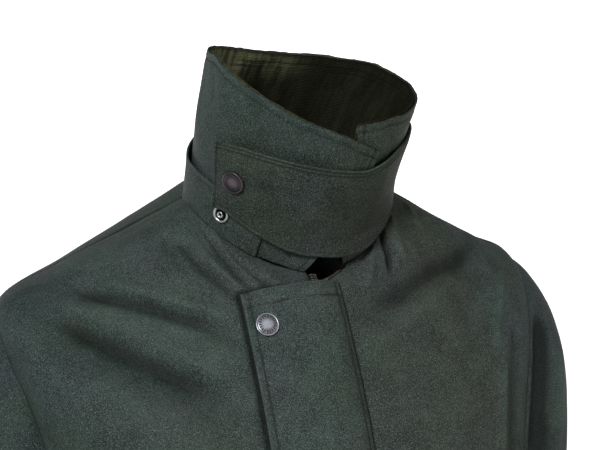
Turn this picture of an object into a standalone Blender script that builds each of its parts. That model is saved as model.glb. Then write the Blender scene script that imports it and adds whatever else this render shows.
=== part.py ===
"""A waxed cotton jacket, filled out as it is worn: stand-up collar held by a throat strap,
storm flap over the zip, set-in sleeves that hang empty.

Units are metres, +Z is up and the garment faces -Y, so the wearer's right is at -X.
The origin lies between the wearer's shoulders, in the middle of the neck seam.

The body is a set of rings round the wearer, from the neck seam down to the hem. A point on it is
body_point(turn, ring): turn is in degrees, 0 at the centre front, 90 at the wearer's left side and
180 at the centre back, and ring counts the rows of RINGS, with fractions between them.
What stands round the neck is neck_point(turn, rise): rise is the height over the neck seam.
"""

import math

import bpy
import bmesh
import numpy as np
from mathutils import Matrix, Vector

# ---------------------------------------------------------------- driving dimensions
CLOTH = 0.0018             # wall of the waxed cotton, with its seam turnings
CORD_CLOTH = 0.0015        # wall of the corduroy
STRAP_CLOTH = 0.0026       # two layers of waxed cotton
TAPE = 0.0010              # wall of the zip tape
GAP = 0.0003               # between pieces that are sewn or lie together

RING_COLUMNS = ("name", "mid_x", "half_width", "front", "back", "z_side", "z_front", "z_back", "square")
RINGS = (
    ("neck seam",      -0.0015, 0.0815, 0.0665, 0.070,  0.000, -0.045, 0.021, 2.00),
    ("collar bone",    -0.002, 0.103, 0.080, 0.087, -0.011, -0.055,  0.013, 2.00),
    ("yoke",           -0.0055, 0.140, 0.106, 0.113, -0.030, -0.092, -0.013, 2.04),
    ("shoulder",       -0.0095, 0.180, 0.133, 0.131, -0.049, -0.137, -0.048, 2.04),
    ("shoulder point", -0.013, 0.215, 0.151, 0.143, -0.068, -0.177, -0.090, 2.01),
    ("upper chest",    -0.011, 0.212, 0.162, 0.149, -0.120, -0.213, -0.150, 2.17),
    ("chest",          -0.009, 0.203, 0.167, 0.150, -0.192, -0.248, -0.203, 2.30),
    ("underarm",       -0.009, 0.204, 0.167, 0.148, -0.286, -0.295, -0.286, 2.40),
    ("midriff",        -0.008, 0.203, 0.160, 0.142, -0.400, -0.403, -0.400, 2.40),
    ("waist",          -0.007, 0.206, 0.156, 0.140, -0.515, -0.516, -0.515, 2.35),
    ("hip",            -0.005, 0.222, 0.160, 0.150, -0.645, -0.646, -0.645, 2.30),
    ("hem",            -0.004, 0.234, 0.164, 0.157, -0.770, -0.771, -0.770, 2.30),
)
SHOULDER_RING = 4
UNDERARM_RING = 7
HEM_RING = len(RINGS) - 1
ARMHOLE_CUT = 32.0         # how far the armhole cuts into front and back, in degrees of turn
SIDE_TURN = {1: 86.0, -1: 102.0}    # where front meets back: the jacket hangs turned to one side

NECK_LEAN = 22.0           # the neck leans forward by this many degrees
NECK_FLARE = 0.0050         # how far the foot of the collar stands forward in front
NECK_FLARE_RISE = 0.026     # and the rise over which it draws in
NECK_PROFILE = (           # rise, how far the neck sways to the wearer's left, half width gained
    (0.0, 0.0, 0.0), (0.015, 0.0003, -0.0010), (0.03, 0.0006, -0.0016), (0.05, 0.0012, -0.0009),
    (0.07, 0.0026, 0.0003), (0.10, 0.0056, 0.0006), (0.125, 0.0070, 0.0006),
)

# Collar: the height of its top edge over the neck seam, round the neck. It starts at its left
# end, goes round the back and closes over itself in front.
COLLAR_EDGE = (                    # collar: turn and rise of its top edge over the neck seam
    (2.0, 0.1200), (20.0, 0.1183), (38.0, 0.1096), (56.0, 0.1010), (78.0, 0.0931), (102.0, 0.0972),
    (122.0, 0.0998), (145.0, 0.0967), (167.0, 0.0946), (183.0, 0.0960), (200.0, 0.1012),
    (221.0, 0.1105), (240.0, 0.1190), (258.0, 0.1225), (276.0, 0.1230), (292.0, 0.1194),
    (307.0, 0.1188), (322.0, 0.1183), (334.0, 0.1173), (346.0, 0.1161), (357.0, 0.1117),
    (368.0, 0.1039), (378.0, 0.0952),
)
COLLAR_LEFT_END = (13.0, 2.6)       # turn of the left end, at the neck seam and at the top edge
COLLAR_RIGHT_END = (350.0, 378.0)
COLLAR_OVERLAP = 0.0042            # how far the right end stands out where it lies over the left
COLLAR_STATIONS = 56
COLLAR_ROWS = 6

BAND_EDGE = (                      # stud band: turn, rise of its top edge, how far that stands off
    (212.0, 0.0400, 0.0030), (235.0, 0.0400, 0.0026), (258.0, 0.0370, 0.0020),
    (280.0, 0.0330, 0.0014), (294.0, 0.0330, 0.0012), (310.0, 0.0307, 0.0010),
    (327.5, 0.0277, 0.0010),
)

BAND_FOOT = CLOTH + 0.0004         # outer face of the stud band at the neck seam

STRAP_EDGES = (                    # throat strap: turn, rise of lower and top edge, outer face
    (126.0, 0.0015, 0.0540, 0.0029), (104.0, 0.0015, 0.0600, 0.0030),
    (82.0, 0.0018, 0.0663, 0.0031), (60.0, 0.0040, 0.0745, 0.0032), (42.0, 0.0065, 0.0804, 0.0040),
    (34.0, 0.0074, 0.0819, 0.0054), (26.0, 0.0081, 0.0828, 0.0074), (12.0, 0.0098, 0.0827, 0.0088),
    (-2.0, 0.0131, 0.0860, 0.0090), (-18.0, 0.0149, 0.0869, 0.0090),
    (-34.0, 0.0186, 0.0843, 0.0090), (-50.0, 0.0215, 0.0792, 0.0088),
    (-57.0, 0.0223, 0.0753, 0.0088), (-65.0, 0.0195, 0.0709, 0.0086),
)
STRAP_SLANT = 3.4          # degrees that the foot of its free end lies nearer the front

ZIP_EDGE = 0.0065          # front edge of each panel, from the zip's middle line
ZIP_X = -0.008             # the zip's middle line on the body
ZIP_NECK_X = 0.003         # and at the neck seam
ZIP_SHUT_RING = 0.95       # the zip is closed below this ring and open above it
ZIP_SPREAD = 0.0100        # how far each edge has moved out at the neck seam, where it is open
TAPE_EDGES = (0.0012, 0.0140)
RIGHT_STATIONS = (0.0065, 0.0220, 0.0410, 0.0600)      # panel columns near the zip, in x
LEFT_STATIONS = (0.0065, 0.0145, 0.0320, 0.0500)

FLAP_STATIONS = (0.0145, 0.0065, -0.0065, -0.0220, -0.0410, -0.0600)   # from the zip's line
FLAP_OUT = (0.0010, 0.0058, 0.0088, 0.0066, 0.0032, 0.0014)     # gap under it at each station
FLAP_TOP_RING = (0.88, 0.90, 0.92, 1.00, 1.16, 1.40)            # its top edge at each station
FLAP_HEM_RING = HEM_RING - 0.06

STUD_RADIUS = 0.0084
STUD_HEIGHT = 0.0025
STUD_LIFT = 0.0008                 # under a stud's flat foot, which lets it clear the curved cloth
FLAP_STUD_X = -0.0465              # from the zip's line
FLAP_STUD_RINGS = (1.74, 4.20, 6.35, 7.60, 8.60, 9.55, 10.45)
STRAP_STUD = (-50.6, 0.0510, 0.0088)    # turn, rise and the outer face it sits on
BAND_STUD = (-57.0, 0.0164)
BAND_STUD_PROFILE = (              # a bare ring with a dimpled nipple: radius, height
    (0.0, 0.0012), (0.0012, 0.0012), (0.0015, 0.0021), (0.0024, 0.0021), (0.0028, 0.0007),
    (0.0046, 0.0007), (0.0050, 0.0014), (0.0060, 0.0014), (0.0064, 0.0008), (0.0064, 0.0),
    (0.0, 0.0),
)

# Zip slider and pull, in the slider's own frame: X across, Y up along the cloth, Z outward from
# the cloth's face.
SLIDER_RING = 1.08
SLIDER_OUTLINE = (
    (-0.0058, -0.0090), (0.0058, -0.0090), (0.0078, 0.0035), (0.0072, 0.0090), (0.0030, 0.0090),
    (0.0, 0.0050), (-0.0030, 0.0090), (-0.0072, 0.0090), (-0.0078, 0.0035),
)
SLIDER_FACE = (0.0004, 0.0014)     # foot and top of its front plate
SLIDER_BACK = (-0.0052, -0.0042)   # its back plate, behind the tapes
SLIDER_POST = (0.0008, -0.0010, 0.0045)     # half width, lower and upper end
BAIL = (0.0010, -0.0040, 0.0030)   # half width, lower and upper end of the loop on the front plate
BAIL_ROOM = 0.0014                 # height of the room under the loop
BAIL_BAR = 0.0008                  # thickness of the loop
HINGE = (0.0, -0.0018, 0.0021)     # the pull's bar under the loop
PULL_HALF_THICK = 0.0005
PULL_OUTLINE = (
    (-0.0034, 0.0005), (-0.0034, -0.0062), (-0.0026, -0.0080), (-0.0032, -0.0150),
    (-0.0022, -0.0180), (0.0022, -0.0180), (0.0032, -0.0150), (0.0026, -0.0080),
    (0.0034, -0.0062), (0.0034, 0.0005),
)
PULL_WINDOW = (0.0017, -0.0056, -0.0005)    # half width, lower and upper end

# Folds in the body cloth. They run from (x0, z0) to (x1, z1) as seen from the front or the back,
# bowed sideways by bow; half_width and depth are metres, and a negative depth is a trough.
SEAM_FADE = 0.20           # cosine of the turn at which a fold has its full depth
FOLD_COLUMNS = ("name", "side", "x0", "z0", "x1", "z1", "bow", "half_width", "depth")
FOLDS = (
    ("right chest, upper", "front", -0.190, -0.047, -0.066, -0.079, -0.006, 0.014, -0.0060),
    ("right chest, lower", "front", -0.205, -0.063, -0.070, -0.125, -0.002, 0.018, -0.0075),
    ("left chest, upper",  "front",  0.130, -0.038,  0.020, -0.080,  0.003, 0.014, -0.0030),
    ("left chest, outer",  "front",  0.158, -0.052,  0.105, -0.100,  0.000, 0.014, -0.0035),
    ("right midriff",      "front", -0.200, -0.330, -0.070, -0.400,  0.010, 0.026, -0.0070),
    ("left midriff",       "front",  0.190, -0.350,  0.060, -0.430, -0.008, 0.028, -0.0060),
    ("right skirt",        "front", -0.120, -0.480, -0.140, -0.780,  0.010, 0.024, -0.0070),
    ("left skirt",         "front",  0.105, -0.500,  0.130, -0.780, -0.010, 0.026, -0.0070),
    ("left blade",         "back",   0.150, -0.130,  0.030, -0.240,  0.010, 0.026, -0.0060),
    ("right blade",        "back",  -0.155, -0.120, -0.040, -0.260, -0.012, 0.024, -0.0070),
    ("waist, left",        "back",   0.190, -0.430,  0.020, -0.500,  0.008, 0.026, -0.0060),
    ("waist, right",       "back",  -0.185, -0.400, -0.030, -0.485, -0.010, 0.024, -0.0060),
    ("skirt, left",        "back",   0.090, -0.520,  0.110, -0.780,  0.008, 0.026, -0.0080),
    ("skirt, right",       "back",  -0.070, -0.540, -0.100, -0.780, -0.008, 0.028, -0.0080),
)

SLEEVE_SWING = {1: -0.004, -1: 0.014}    # how far each sleeve hangs behind its table

# Sleeve rings below the armhole: centre, half thickness across the body and half width along it.
SLEEVE_COLUMNS = ("name", "x", "y", "z", "half_thick", "half_wide")
SLEEVES = (
    ("underarm", 0.232, 0.016, -0.318, 0.0220, 0.090),
    ("bicep",    0.237, 0.014, -0.400, 0.0240, 0.088),
    ("elbow",    0.247, 0.006, -0.505, 0.0250, 0.080),
    ("forearm",  0.259, -0.006, -0.610, 0.0250, 0.072),
    ("cuff",     0.272, -0.020, -0.700, 0.0265, 0.064),
)
CAP_ROWS = 9
SLEEVE_ROWS_EACH = 3
SLEEVE_CUTS = (6, 15)      # columns where its two pieces meet: under the arm in front, and behind
ARMHOLE_STEPS = 10         # rows of the body between the shoulder point and the underarm


# ---------------------------------------------------------------- curves and surfaces
def spline(values, at):
    """A smooth curve through evenly spaced values, read at a fractional place."""
    last = len(values) - 1
    at = min(max(at, 0.0), float(last))
    i = min(int(at), last - 1)
    t = at - i
    p1, p2 = values[i], values[i + 1]
    p0 = values[i - 1] if i > 0 else 2.0 * p1 - p2
    p3 = values[i + 2] if i + 2 <= last else 2.0 * p2 - p1
    return 0.5 * (2.0 * p1 + (p2 - p0) * t + (2.0 * p0 - 5.0 * p1 + 4.0 * p2 - p3) * t * t
                  + (3.0 * p1 - p0 - 3.0 * p2 + p3) * t ** 3)


def table_curve(rows, column, at):
    """A smooth curve through a table's column, against its first column."""
    places = [row[0] for row in rows]
    if places[0] > places[-1]:
        rows = rows[::-1]
        places = places[::-1]
    index = float(np.interp(at, places, range(len(places))))
    return spline([row[column] for row in rows], index)


def smooth(t):
    t = min(max(t, 0.0), 1.0)
    return t * t * (3.0 - 2.0 * t)


RING_TABLE = {name: [row[i] for row in RINGS] for i, name in enumerate(RING_COLUMNS) if i}


def ring_size(column, ring):
    return spline(RING_TABLE[column], ring)


def bare_body_point(turn, ring):
    angle = math.radians(turn)
    across, ahead = math.sin(angle), math.cos(angle)
    power = 2.0 / ring_size("square", ring)
    depth = ring_size("front", ring) if ahead > 0 else ring_size("back", ring)
    x = ring_size("half_width", ring) * math.copysign(abs(across) ** power, across)
    x += ring_size("mid_x", ring)
    y = -depth * math.copysign(abs(ahead) ** power, ahead)
    z_side = ring_size("z_side", ring)
    to_front = max(ahead, 0.0) ** 1.6 * (ring_size("z_front", ring) - z_side)
    to_back = max(-ahead, 0.0) ** 1.6 * (ring_size("z_back", ring) - z_side)
    return np.array((x, y, z_side + to_front + to_back))


def body_normal(turn, ring):
    """Outward and upward, from the bare rings."""
    low = min(ring + 0.05, HEM_RING)
    high = max(ring - 0.05, 0.0)
    along = bare_body_point(turn + 0.5, ring) - bare_body_point(turn - 0.5, ring)
    down = bare_body_point(turn, low) - bare_body_point(turn, high)
    normal = np.cross(down, along)
    return normal / np.linalg.norm(normal)


def fold_height(x, z, side):
    """How far the folds raise or sink the cloth at a place seen from the front or the back."""
    height = 0.0
    for row in FOLDS:
        fold = dict(zip(FOLD_COLUMNS, row))
        if fold["side"] != side:
            continue
        start = np.array((fold["x0"], fold["z0"]))
        run = np.array((fold["x1"], fold["z1"])) - start
        length = float(np.hypot(*run))
        run /= length
        offset = np.array((x, z)) - start
        along = float(offset @ run) / length
        aside = float(offset[0] * -run[1] + offset[1] * run[0])
        aside -= fold["bow"] * 4.0 * along * (1.0 - along)
        fade = smooth(along / 0.3) * smooth((1.0 - along) / 0.25)
        height += fold["depth"] * fade * math.exp(-(aside / fold["half_width"]) ** 2)
    return height


def body_point(turn, ring, out=0.0):
    """A point on the outer face of the body cloth, or out metres over it."""
    point = bare_body_point(turn, ring)
    ahead = math.cos(math.radians(turn))
    side = "front" if ahead > 0 else "back"
    fade = smooth(abs(ahead) / SEAM_FADE)
    return point + body_normal(turn, ring) * (out + fade * fold_height(point[0], point[2], side))


def turn_at(x, ring):
    """The turn at which a ring of the front has this x."""
    power = ring_size("square", ring) / 2.0
    x = x - ring_size("mid_x", ring)
    share = min(abs(x) / ring_size("half_width", ring), 1.0)
    return math.copysign(math.degrees(math.asin(share ** power)), x)


def zip_spread(ring):
    """How far the front edges have moved apart, where the zip is open."""
    return ZIP_SPREAD * smooth((ZIP_SHUT_RING - ring) / ZIP_SHUT_RING)


def zip_x(ring):
    """The zip's middle line across the front."""
    return ZIP_X + (ZIP_NECK_X - ZIP_X) * smooth((ZIP_SHUT_RING - ring) / ZIP_SHUT_RING)


def armhole_turn(ring):
    """How far the armhole cuts into the front and the back at this ring, in degrees."""
    middle = (SHOULDER_RING + UNDERARM_RING) / 2.0
    half = (UNDERARM_RING - SHOULDER_RING) / 2.0
    share = (ring - middle) / half
    return ARMHOLE_CUT * math.sqrt(max(1.0 - share * share, 0.0))


def body_rows():
    """The rings at which every body panel has a row of points."""
    above = [SHOULDER_RING * i / 9.0 for i in range(9)]
    middle = (SHOULDER_RING + UNDERARM_RING) / 2.0
    half = (UNDERARM_RING - SHOULDER_RING) / 2.0
    armhole = [middle - half * math.cos(math.pi * i / ARMHOLE_STEPS) for i in range(ARMHOLE_STEPS)]
    below = [UNDERARM_RING + (HEM_RING - UNDERARM_RING) * i / 9.0 for i in range(10)]
    return above + armhole + below


def neck_point(turn, rise, out=0.0):
    """A point round the neck, rise over the neck seam along the leaning neck."""
    base = bare_body_point(turn, 0.0)
    angle = math.radians(turn)
    radial = np.array((math.sin(angle), -math.cos(angle), 0.0))
    lean = math.radians(NECK_LEAN)
    sway = np.array((table_curve(NECK_PROFILE, 1, rise), 0.0, 0.0))
    axis = np.array((0.0, -math.sin(lean), math.cos(lean)))
    flare = NECK_FLARE * max(math.cos(angle), 0.0) ** 1.6 * smooth(rise / NECK_FLARE_RISE)
    return base + sway + axis * rise + radial * (out - flare + table_curve(NECK_PROFILE, 2, rise))


def neck_normal(turn, rise):
    """Outward from what stands round the neck."""
    along = neck_point(turn + 0.5, rise) - neck_point(turn - 0.5, rise)
    up = neck_point(turn, rise + 0.001) - neck_point(turn, rise - 0.001)
    normal = np.cross(along, up)
    return normal / np.linalg.norm(normal)


# ---------------------------------------------------------------- making solids
def collection():
    found = bpy.data.collections.get("Waxed_cotton_jacket")
    if found is None:
        found = bpy.data.collections.new("Waxed_cotton_jacket")
        bpy.context.scene.collection.children.link(found)
    return found


def finish(name, color, roughness, metallic=0.0):
    """A plain material."""
    material = bpy.data.materials.get(name) or bpy.data.materials.new(name)
    material.use_nodes = True
    shader = material.node_tree.nodes["Principled BSDF"]
    shader.inputs["Base Color"].default_value = (*color, 1.0)
    shader.inputs["Roughness"].default_value = roughness
    shader.inputs["Metallic"].default_value = metallic
    return material


def waxed_cotton(name):
    return finish(name + "_waxed_cotton", (0.030, 0.042, 0.036), 0.65)


def steel(name):
    return finish(name + "_steel", (0.45, 0.44, 0.46), 0.35, 1.0)


def add_object(name, mesh, material):
    piece = bpy.data.objects.new(name, mesh)
    piece.data.materials.clear()
    piece.data.materials.append(material)
    collection().objects.link(piece)
    return piece


def wall(name, outer, inner, material, closed=False):
    """One closed wall of cloth between two grids of points, each row by row."""
    outer, inner = np.asarray(outer), np.asarray(inner)
    rows, columns = outer.shape[:2]
    mesh = bmesh.new()
    out = [[mesh.verts.new(p) for p in row] for row in outer]
    back = [[mesh.verts.new(p) for p in row] for row in inner]
    wrap = columns if closed else columns - 1
    for i in range(rows - 1):
        for j in range(wrap):
            k = (j + 1) % columns
            mesh.faces.new((out[i][j], out[i][k], out[i + 1][k], out[i + 1][j]))
            mesh.faces.new((back[i][j], back[i + 1][j], back[i + 1][k], back[i][k]))
    for j in range(wrap):
        k = (j + 1) % columns
        mesh.faces.new((out[0][j], back[0][j], back[0][k], out[0][k]))
        mesh.faces.new((out[-1][j], out[-1][k], back[-1][k], back[-1][j]))
    if not closed:
        for i in range(rows - 1):
            mesh.faces.new((out[i][0], out[i + 1][0], back[i + 1][0], back[i][0]))
            mesh.faces.new((out[i][-1], back[i][-1], back[i + 1][-1], out[i + 1][-1]))
    bmesh.ops.recalc_face_normals(mesh, faces=mesh.faces[:])
    data = bpy.data.meshes.new(name)
    mesh.to_mesh(data)
    mesh.free()
    data.shade_smooth()
    data.set_sharp_from_angle(angle=math.radians(50.0))
    return add_object(name, data, material)


def drawn_in(outer, inner, start_row=0.0, end_row=0.0, start_column=0.0, end_column=0.0):
    """Moves the edges of both grids inwards along the cloth, which leaves the seams their gap."""
    outer, inner = np.array(outer, float), np.array(inner, float)
    for edge, beside, amount in (((0, slice(None)), (1, slice(None)), start_row),
                                 ((-1, slice(None)), (-2, slice(None)), end_row),
                                 ((slice(None), 0), (slice(None), 1), start_column),
                                 ((slice(None), -1), (slice(None), -2), end_column)):
        step = outer[beside] - outer[edge]
        step = step / np.linalg.norm(step, axis=-1, keepdims=True) * amount
        outer[edge] = outer[edge] + step
        inner[edge] = inner[edge] + step
    return outer, inner


# ---------------------------------------------------------------- body panels
def panel(name, rows, turns_at, **gaps):
    """A body panel: turns_at(ring) gives the turns of its columns."""
    outer = [[body_point(turn, ring) for turn in turns_at(ring)] for ring in rows]
    inner = [[body_point(turn, ring, -CLOTH) for turn in turns_at(ring)] for ring in rows]
    outer, inner = drawn_in(outer, inner, **gaps)
    return wall(name, outer, inner, waxed_cotton(name))


def front_turns(ring, side, stations, more):
    """From the zip edge to the side: side is -1 on the wearer's right and 1 on the left."""
    spread = zip_spread(ring)
    near = [turn_at(zip_x(ring) + side * (x + spread), ring) for x in stations]
    end = side * (SIDE_TURN[side] - armhole_turn(ring))
    rest = [near[-1] + (end - near[-1]) * i / more for i in range(1, more + 1)]
    return near + rest


def make_fronts():
    rows = body_rows()
    half = GAP / 2.0
    panel("front_right", rows, lambda r: front_turns(r, -1, RIGHT_STATIONS, 9),
          start_row=half, end_column=half)
    panel("front_left", rows, lambda r: front_turns(r, 1, LEFT_STATIONS, 9),
          start_row=half, end_column=half)


def make_back():
    half = GAP / 2.0

    def turns(ring):
        start = SIDE_TURN[1] + armhole_turn(ring)
        end = 360.0 - SIDE_TURN[-1] - armhole_turn(ring)
        return [start + (end - start) * i / 20.0 for i in range(21)]

    panel("back", body_rows(), turns, start_row=half, start_column=half, end_column=half)


# ---------------------------------------------------------------- sleeves
def armhole_loop(side):
    """The armhole's points, the body's normals there, and each point's way round, 0 on top."""
    rows = body_rows()
    loop = [ring for ring in rows if SHOULDER_RING - 1e-9 <= ring <= UNDERARM_RING + 1e-9]
    points = []
    for ring in loop:
        points.append((SIDE_TURN[side] - armhole_turn(ring), ring))
    for ring in loop[-2:0:-1]:
        points.append((SIDE_TURN[side] + armhole_turn(ring), ring))
    steps = len(points)
    return [(side * turn, ring, 360.0 * i / steps) for i, (turn, ring) in enumerate(points)]


SLEEVE_TABLE = {name: [row[i] for row in SLEEVES] for i, name in enumerate(SLEEVE_COLUMNS) if i}


def sleeve_ring_point(around, level, side):
    """A point of a hanging sleeve: around is 0 on the outside, 90 in front, 180 inside."""
    size = {name: spline(SLEEVE_TABLE[name], level) for name in SLEEVE_TABLE}
    angle = math.radians(around)
    thick = size["half_thick"] * math.cos(angle)
    wide = size["half_wide"] * math.sin(angle)
    return np.array((ring_size("mid_x", UNDERARM_RING) + side * (size["x"] + thick),
                     size["y"] + SLEEVE_SWING[side] - wide, size["z"] - thick * 0.15))


def sleeve_point(around, turn, ring, t, side):
    """The cap, from t = 0 at the armhole to t = 1 at the sleeve's first ring."""
    seam = body_point(turn, ring)
    low = sleeve_ring_point(around, 0.0, side)
    angle = math.radians(around)
    top = max(math.cos(angle), 0.0)
    under = max(-math.cos(angle), 0.0)
    leave = np.array((side * (0.82 - 0.22 * under), 0.25 * -math.sin(angle), -0.58 - 0.22 * under))
    reach = float(np.linalg.norm(low - seam))
    start = leave * (0.62 + 0.56 * top) * max(reach, 0.05)
    arrive = np.array((side * 0.10, 0.0, -1.0)) * max(reach, 0.05) * 0.9
    t2, t3 = t * t, t ** 3
    return ((2 * t3 - 3 * t2 + 1) * seam + (t3 - 2 * t2 + t) * start
            + (3 * t2 - 2 * t3) * low + (t3 - t2) * arrive)


def make_sleeve(name, side):
    loop = armhole_loop(side)
    outer = []
    for i in range(CAP_ROWS):
        t = i / CAP_ROWS
        outer.append([sleeve_point(around, turn, ring, t, side) for turn, ring, around in loop])
    levels = (len(SLEEVES) - 1) * SLEEVE_ROWS_EACH
    for i in range(levels + 1):
        level = i / SLEEVE_ROWS_EACH
        outer.append([sleeve_ring_point(around, level, side) for _, _, around in loop])
    outer = np.array(outer)
    along = np.gradient(outer, axis=0)
    round_it = np.roll(outer, -1, axis=1) - np.roll(outer, 1, axis=1)
    normal = np.cross(round_it, along) * side
    normal /= np.linalg.norm(normal, axis=-1, keepdims=True)
    for j, (turn, ring, around) in enumerate(loop):
        over = smooth((math.cos(math.radians(around)) + 0.3) / 0.7)
        mixed = body_normal(turn, ring) * over + normal[0, j] * (1.0 - over)
        normal[0, j] = mixed / np.linalg.norm(mixed)
    inner = outer - normal * CLOTH
    front_cut, back_cut = SLEEVE_CUTS
    for piece, first, last in (("top", back_cut, front_cut + len(loop)),
                               ("under", front_cut, back_cut)):
        columns = [i % len(loop) for i in range(first, last + 1)]
        half = GAP / 2.0
        cut_outer, cut_inner = drawn_in(outer[:, columns], inner[:, columns], start_row=GAP,
                                        start_column=half, end_column=half)
        piece_name = "%s_%s" % (name, piece)
        wall(piece_name, cut_outer, cut_inner, waxed_cotton(piece_name))


# ---------------------------------------------------------------- round the neck
def collar_grid(out, low_rise, drop):
    """Rows of the collar from the neck seam to its top edge, out metres from the neck ring."""
    grid = []
    for i in range(COLLAR_ROWS):
        share = i / (COLLAR_ROWS - 1)
        start = COLLAR_LEFT_END[0] + (COLLAR_LEFT_END[1] - COLLAR_LEFT_END[0]) * share
        rounded = 1.0 - (1.0 - share) ** 2
        end = COLLAR_RIGHT_END[0] + (COLLAR_RIGHT_END[1] - COLLAR_RIGHT_END[0]) * rounded
        row = []
        for j in range(COLLAR_STATIONS):
            turn = start + (end - start) * j / (COLLAR_STATIONS - 1)
            top = table_curve(COLLAR_EDGE, 1, turn) - drop
            over = COLLAR_OVERLAP * smooth((turn - 330.0) / 30.0)
            row.append(neck_point(turn, low_rise + (top - low_rise) * share, out + over))
        grid.append(row)
    return grid


def make_collar():
    outer = collar_grid(0.0, GAP, 0.0)
    inner = collar_grid(-CLOTH, GAP, 0.0)
    wall("collar", outer, inner, waxed_cotton("collar"))
    outer = collar_grid(-CLOTH - GAP, GAP, 0.0010)
    inner = collar_grid(-CLOTH - GAP - CORD_CLOTH, GAP, 0.0010)
    corduroy = finish("collar_corduroy", (0.028, 0.028, 0.016), 0.85)
    wall("collar_lining", outer, inner, corduroy)


def neck_piece(name, table, columns, rows, thick, place_at):
    """A band round the neck between the first and last turn of its table."""
    first, last = table[0][0], table[-1][0]
    grids = []
    for depth in (0.0, thick):
        grid = []
        for i in range(rows):
            share = i / (rows - 1)
            grid.append([neck_point(*place_at(first + (last - first) * j / (columns - 1), share, depth))
                         for j in range(columns)])
        grids.append(grid)
    return wall(name, grids[0], grids[1], waxed_cotton(name))


def make_stud_band():
    def place_at(turn, share, depth):
        top = table_curve(BAND_EDGE, 1, turn)
        flare = table_curve(BAND_EDGE, 2, turn)
        return turn, 0.0010 + (top - 0.0010) * share, BAND_FOOT + flare * share - depth

    neck_piece("stud_band", BAND_EDGE, 20, 4, CLOTH, place_at)


def make_strap():
    def place_at(turn, share, depth):
        low = table_curve(STRAP_EDGES, 1, turn)
        high = table_curve(STRAP_EDGES, 2, turn)
        slanted = turn + STRAP_SLANT * (1.0 - share) * smooth((-35.0 - turn) / 30.0)
        return slanted, low + (high - low) * share, table_curve(STRAP_EDGES, 3, turn) - depth

    neck_piece("throat_strap", STRAP_EDGES, 36, 6, STRAP_CLOTH, place_at)


# ---------------------------------------------------------------- front closing
def flap_gap(gap, ring):
    """The flap lies closer to the front lower down, away from the slider."""
    return max(gap * (1.0 - 0.6 * smooth((ring - 3.0) / 2.0)), 0.0008)


def make_storm_flap():
    rows = [ring for ring in body_rows() if ring > max(FLAP_TOP_RING) + 0.1]
    rows[-1] = FLAP_HEM_RING
    grids = []
    for thick in (CLOTH, 0.0):
        grid = [[body_point(turn_at(zip_x(top) + x, top), top, out + thick)
                 for x, top, out in zip(FLAP_STATIONS, FLAP_TOP_RING, FLAP_OUT)]]
        for ring in rows:
            grid.append([body_point(turn_at(zip_x(ring) + x, ring), ring, flap_gap(out, ring) + thick)
                         for x, out in zip(FLAP_STATIONS, FLAP_OUT)])
        grids.append(grid)
    wall("storm_flap", grids[0], grids[1], waxed_cotton("storm_flap"))


def make_tape(name, side):
    rows = [ring for ring in body_rows()]
    rows[0] = 0.08
    grids = []
    for out in (-CLOTH - GAP, -CLOTH - GAP - TAPE):
        grid = []
        for ring in rows:
            edges = [x + zip_spread(ring) for x in TAPE_EDGES]
            stations = (edges[0], ZIP_EDGE + zip_spread(ring), edges[1])
            grid.append([body_point(turn_at(zip_x(ring) + side * x, ring), ring, out)
                         for x in stations])
        grids.append(grid)
    wall(name, grids[0], grids[1], finish(name + "_tape", (0.02, 0.026, 0.02), 0.8))


def seat(point, normal, up=Vector((0.0, 0.0, 1.0))):
    """A place on the cloth: local Z along the normal, local Y up along the cloth."""
    z = Vector(normal).normalized()
    y = (up - z * up.dot(z)).normalized()
    x = y.cross(z)
    placed = Matrix((x, y, z)).transposed().to_4x4()
    placed.translation = Vector(point)
    return placed


def turned(name, profile, place, material, steps=20):
    """A turned solid: profile holds (radius, height) from the top of the axis to its foot."""
    mesh = bpy.data.meshes.new(name)
    points = [(radius, 0.0, height) for radius, height in profile]
    mesh.from_pydata(points, [(i, i + 1) for i in range(len(points) - 1)], [])
    piece = add_object(name, mesh, material)
    screw = piece.modifiers.new("turn", "SCREW")
    screw.steps = steps
    screw.render_steps = steps
    screw.use_merge_vertices = True
    screw.merge_threshold = 0.00001
    screw.use_smooth_shade = True
    piece.matrix_world = place
    return piece


def cap_profile(radius, height):
    """A press stud's cap: a low dome with a rolled rim."""
    return ((0.0, height), (radius * 0.55, height * 0.94), (radius * 0.80, height * 0.80),
            (radius * 0.95, height * 0.55), (radius, height * 0.28), (radius * 0.97, 0.0), (0.0, 0.0))


def make_studs():
    for number, ring in enumerate(FLAP_STUD_RINGS, 1):
        turn = turn_at(zip_x(ring) + FLAP_STUD_X, ring)
        gap = float(np.interp(-FLAP_STUD_X, [-x for x in FLAP_STATIONS], FLAP_OUT))
        out = flap_gap(gap, ring) + CLOTH + STUD_LIFT
        place = seat(body_point(turn, ring, out), body_normal(turn, ring))
        name = "flap_stud_%d" % number
        turned(name, cap_profile(STUD_RADIUS, STUD_HEIGHT), place, steel(name))
    turn, rise, out = STRAP_STUD
    place = seat(neck_point(turn, rise, out + STUD_LIFT), neck_normal(turn, rise))
    turned("strap_stud", cap_profile(STUD_RADIUS, STUD_HEIGHT), place, steel("strap_stud"))
    turn, rise = BAND_STUD
    share = rise / table_curve(BAND_EDGE, 1, turn % 360.0)
    out = BAND_FOOT + table_curve(BAND_EDGE, 2, turn % 360.0) * share + STUD_LIFT
    place = seat(neck_point(turn, rise, out), neck_normal(turn, rise))
    turned("band_stud", BAND_STUD_PROFILE, place, steel("band_stud"))


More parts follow.
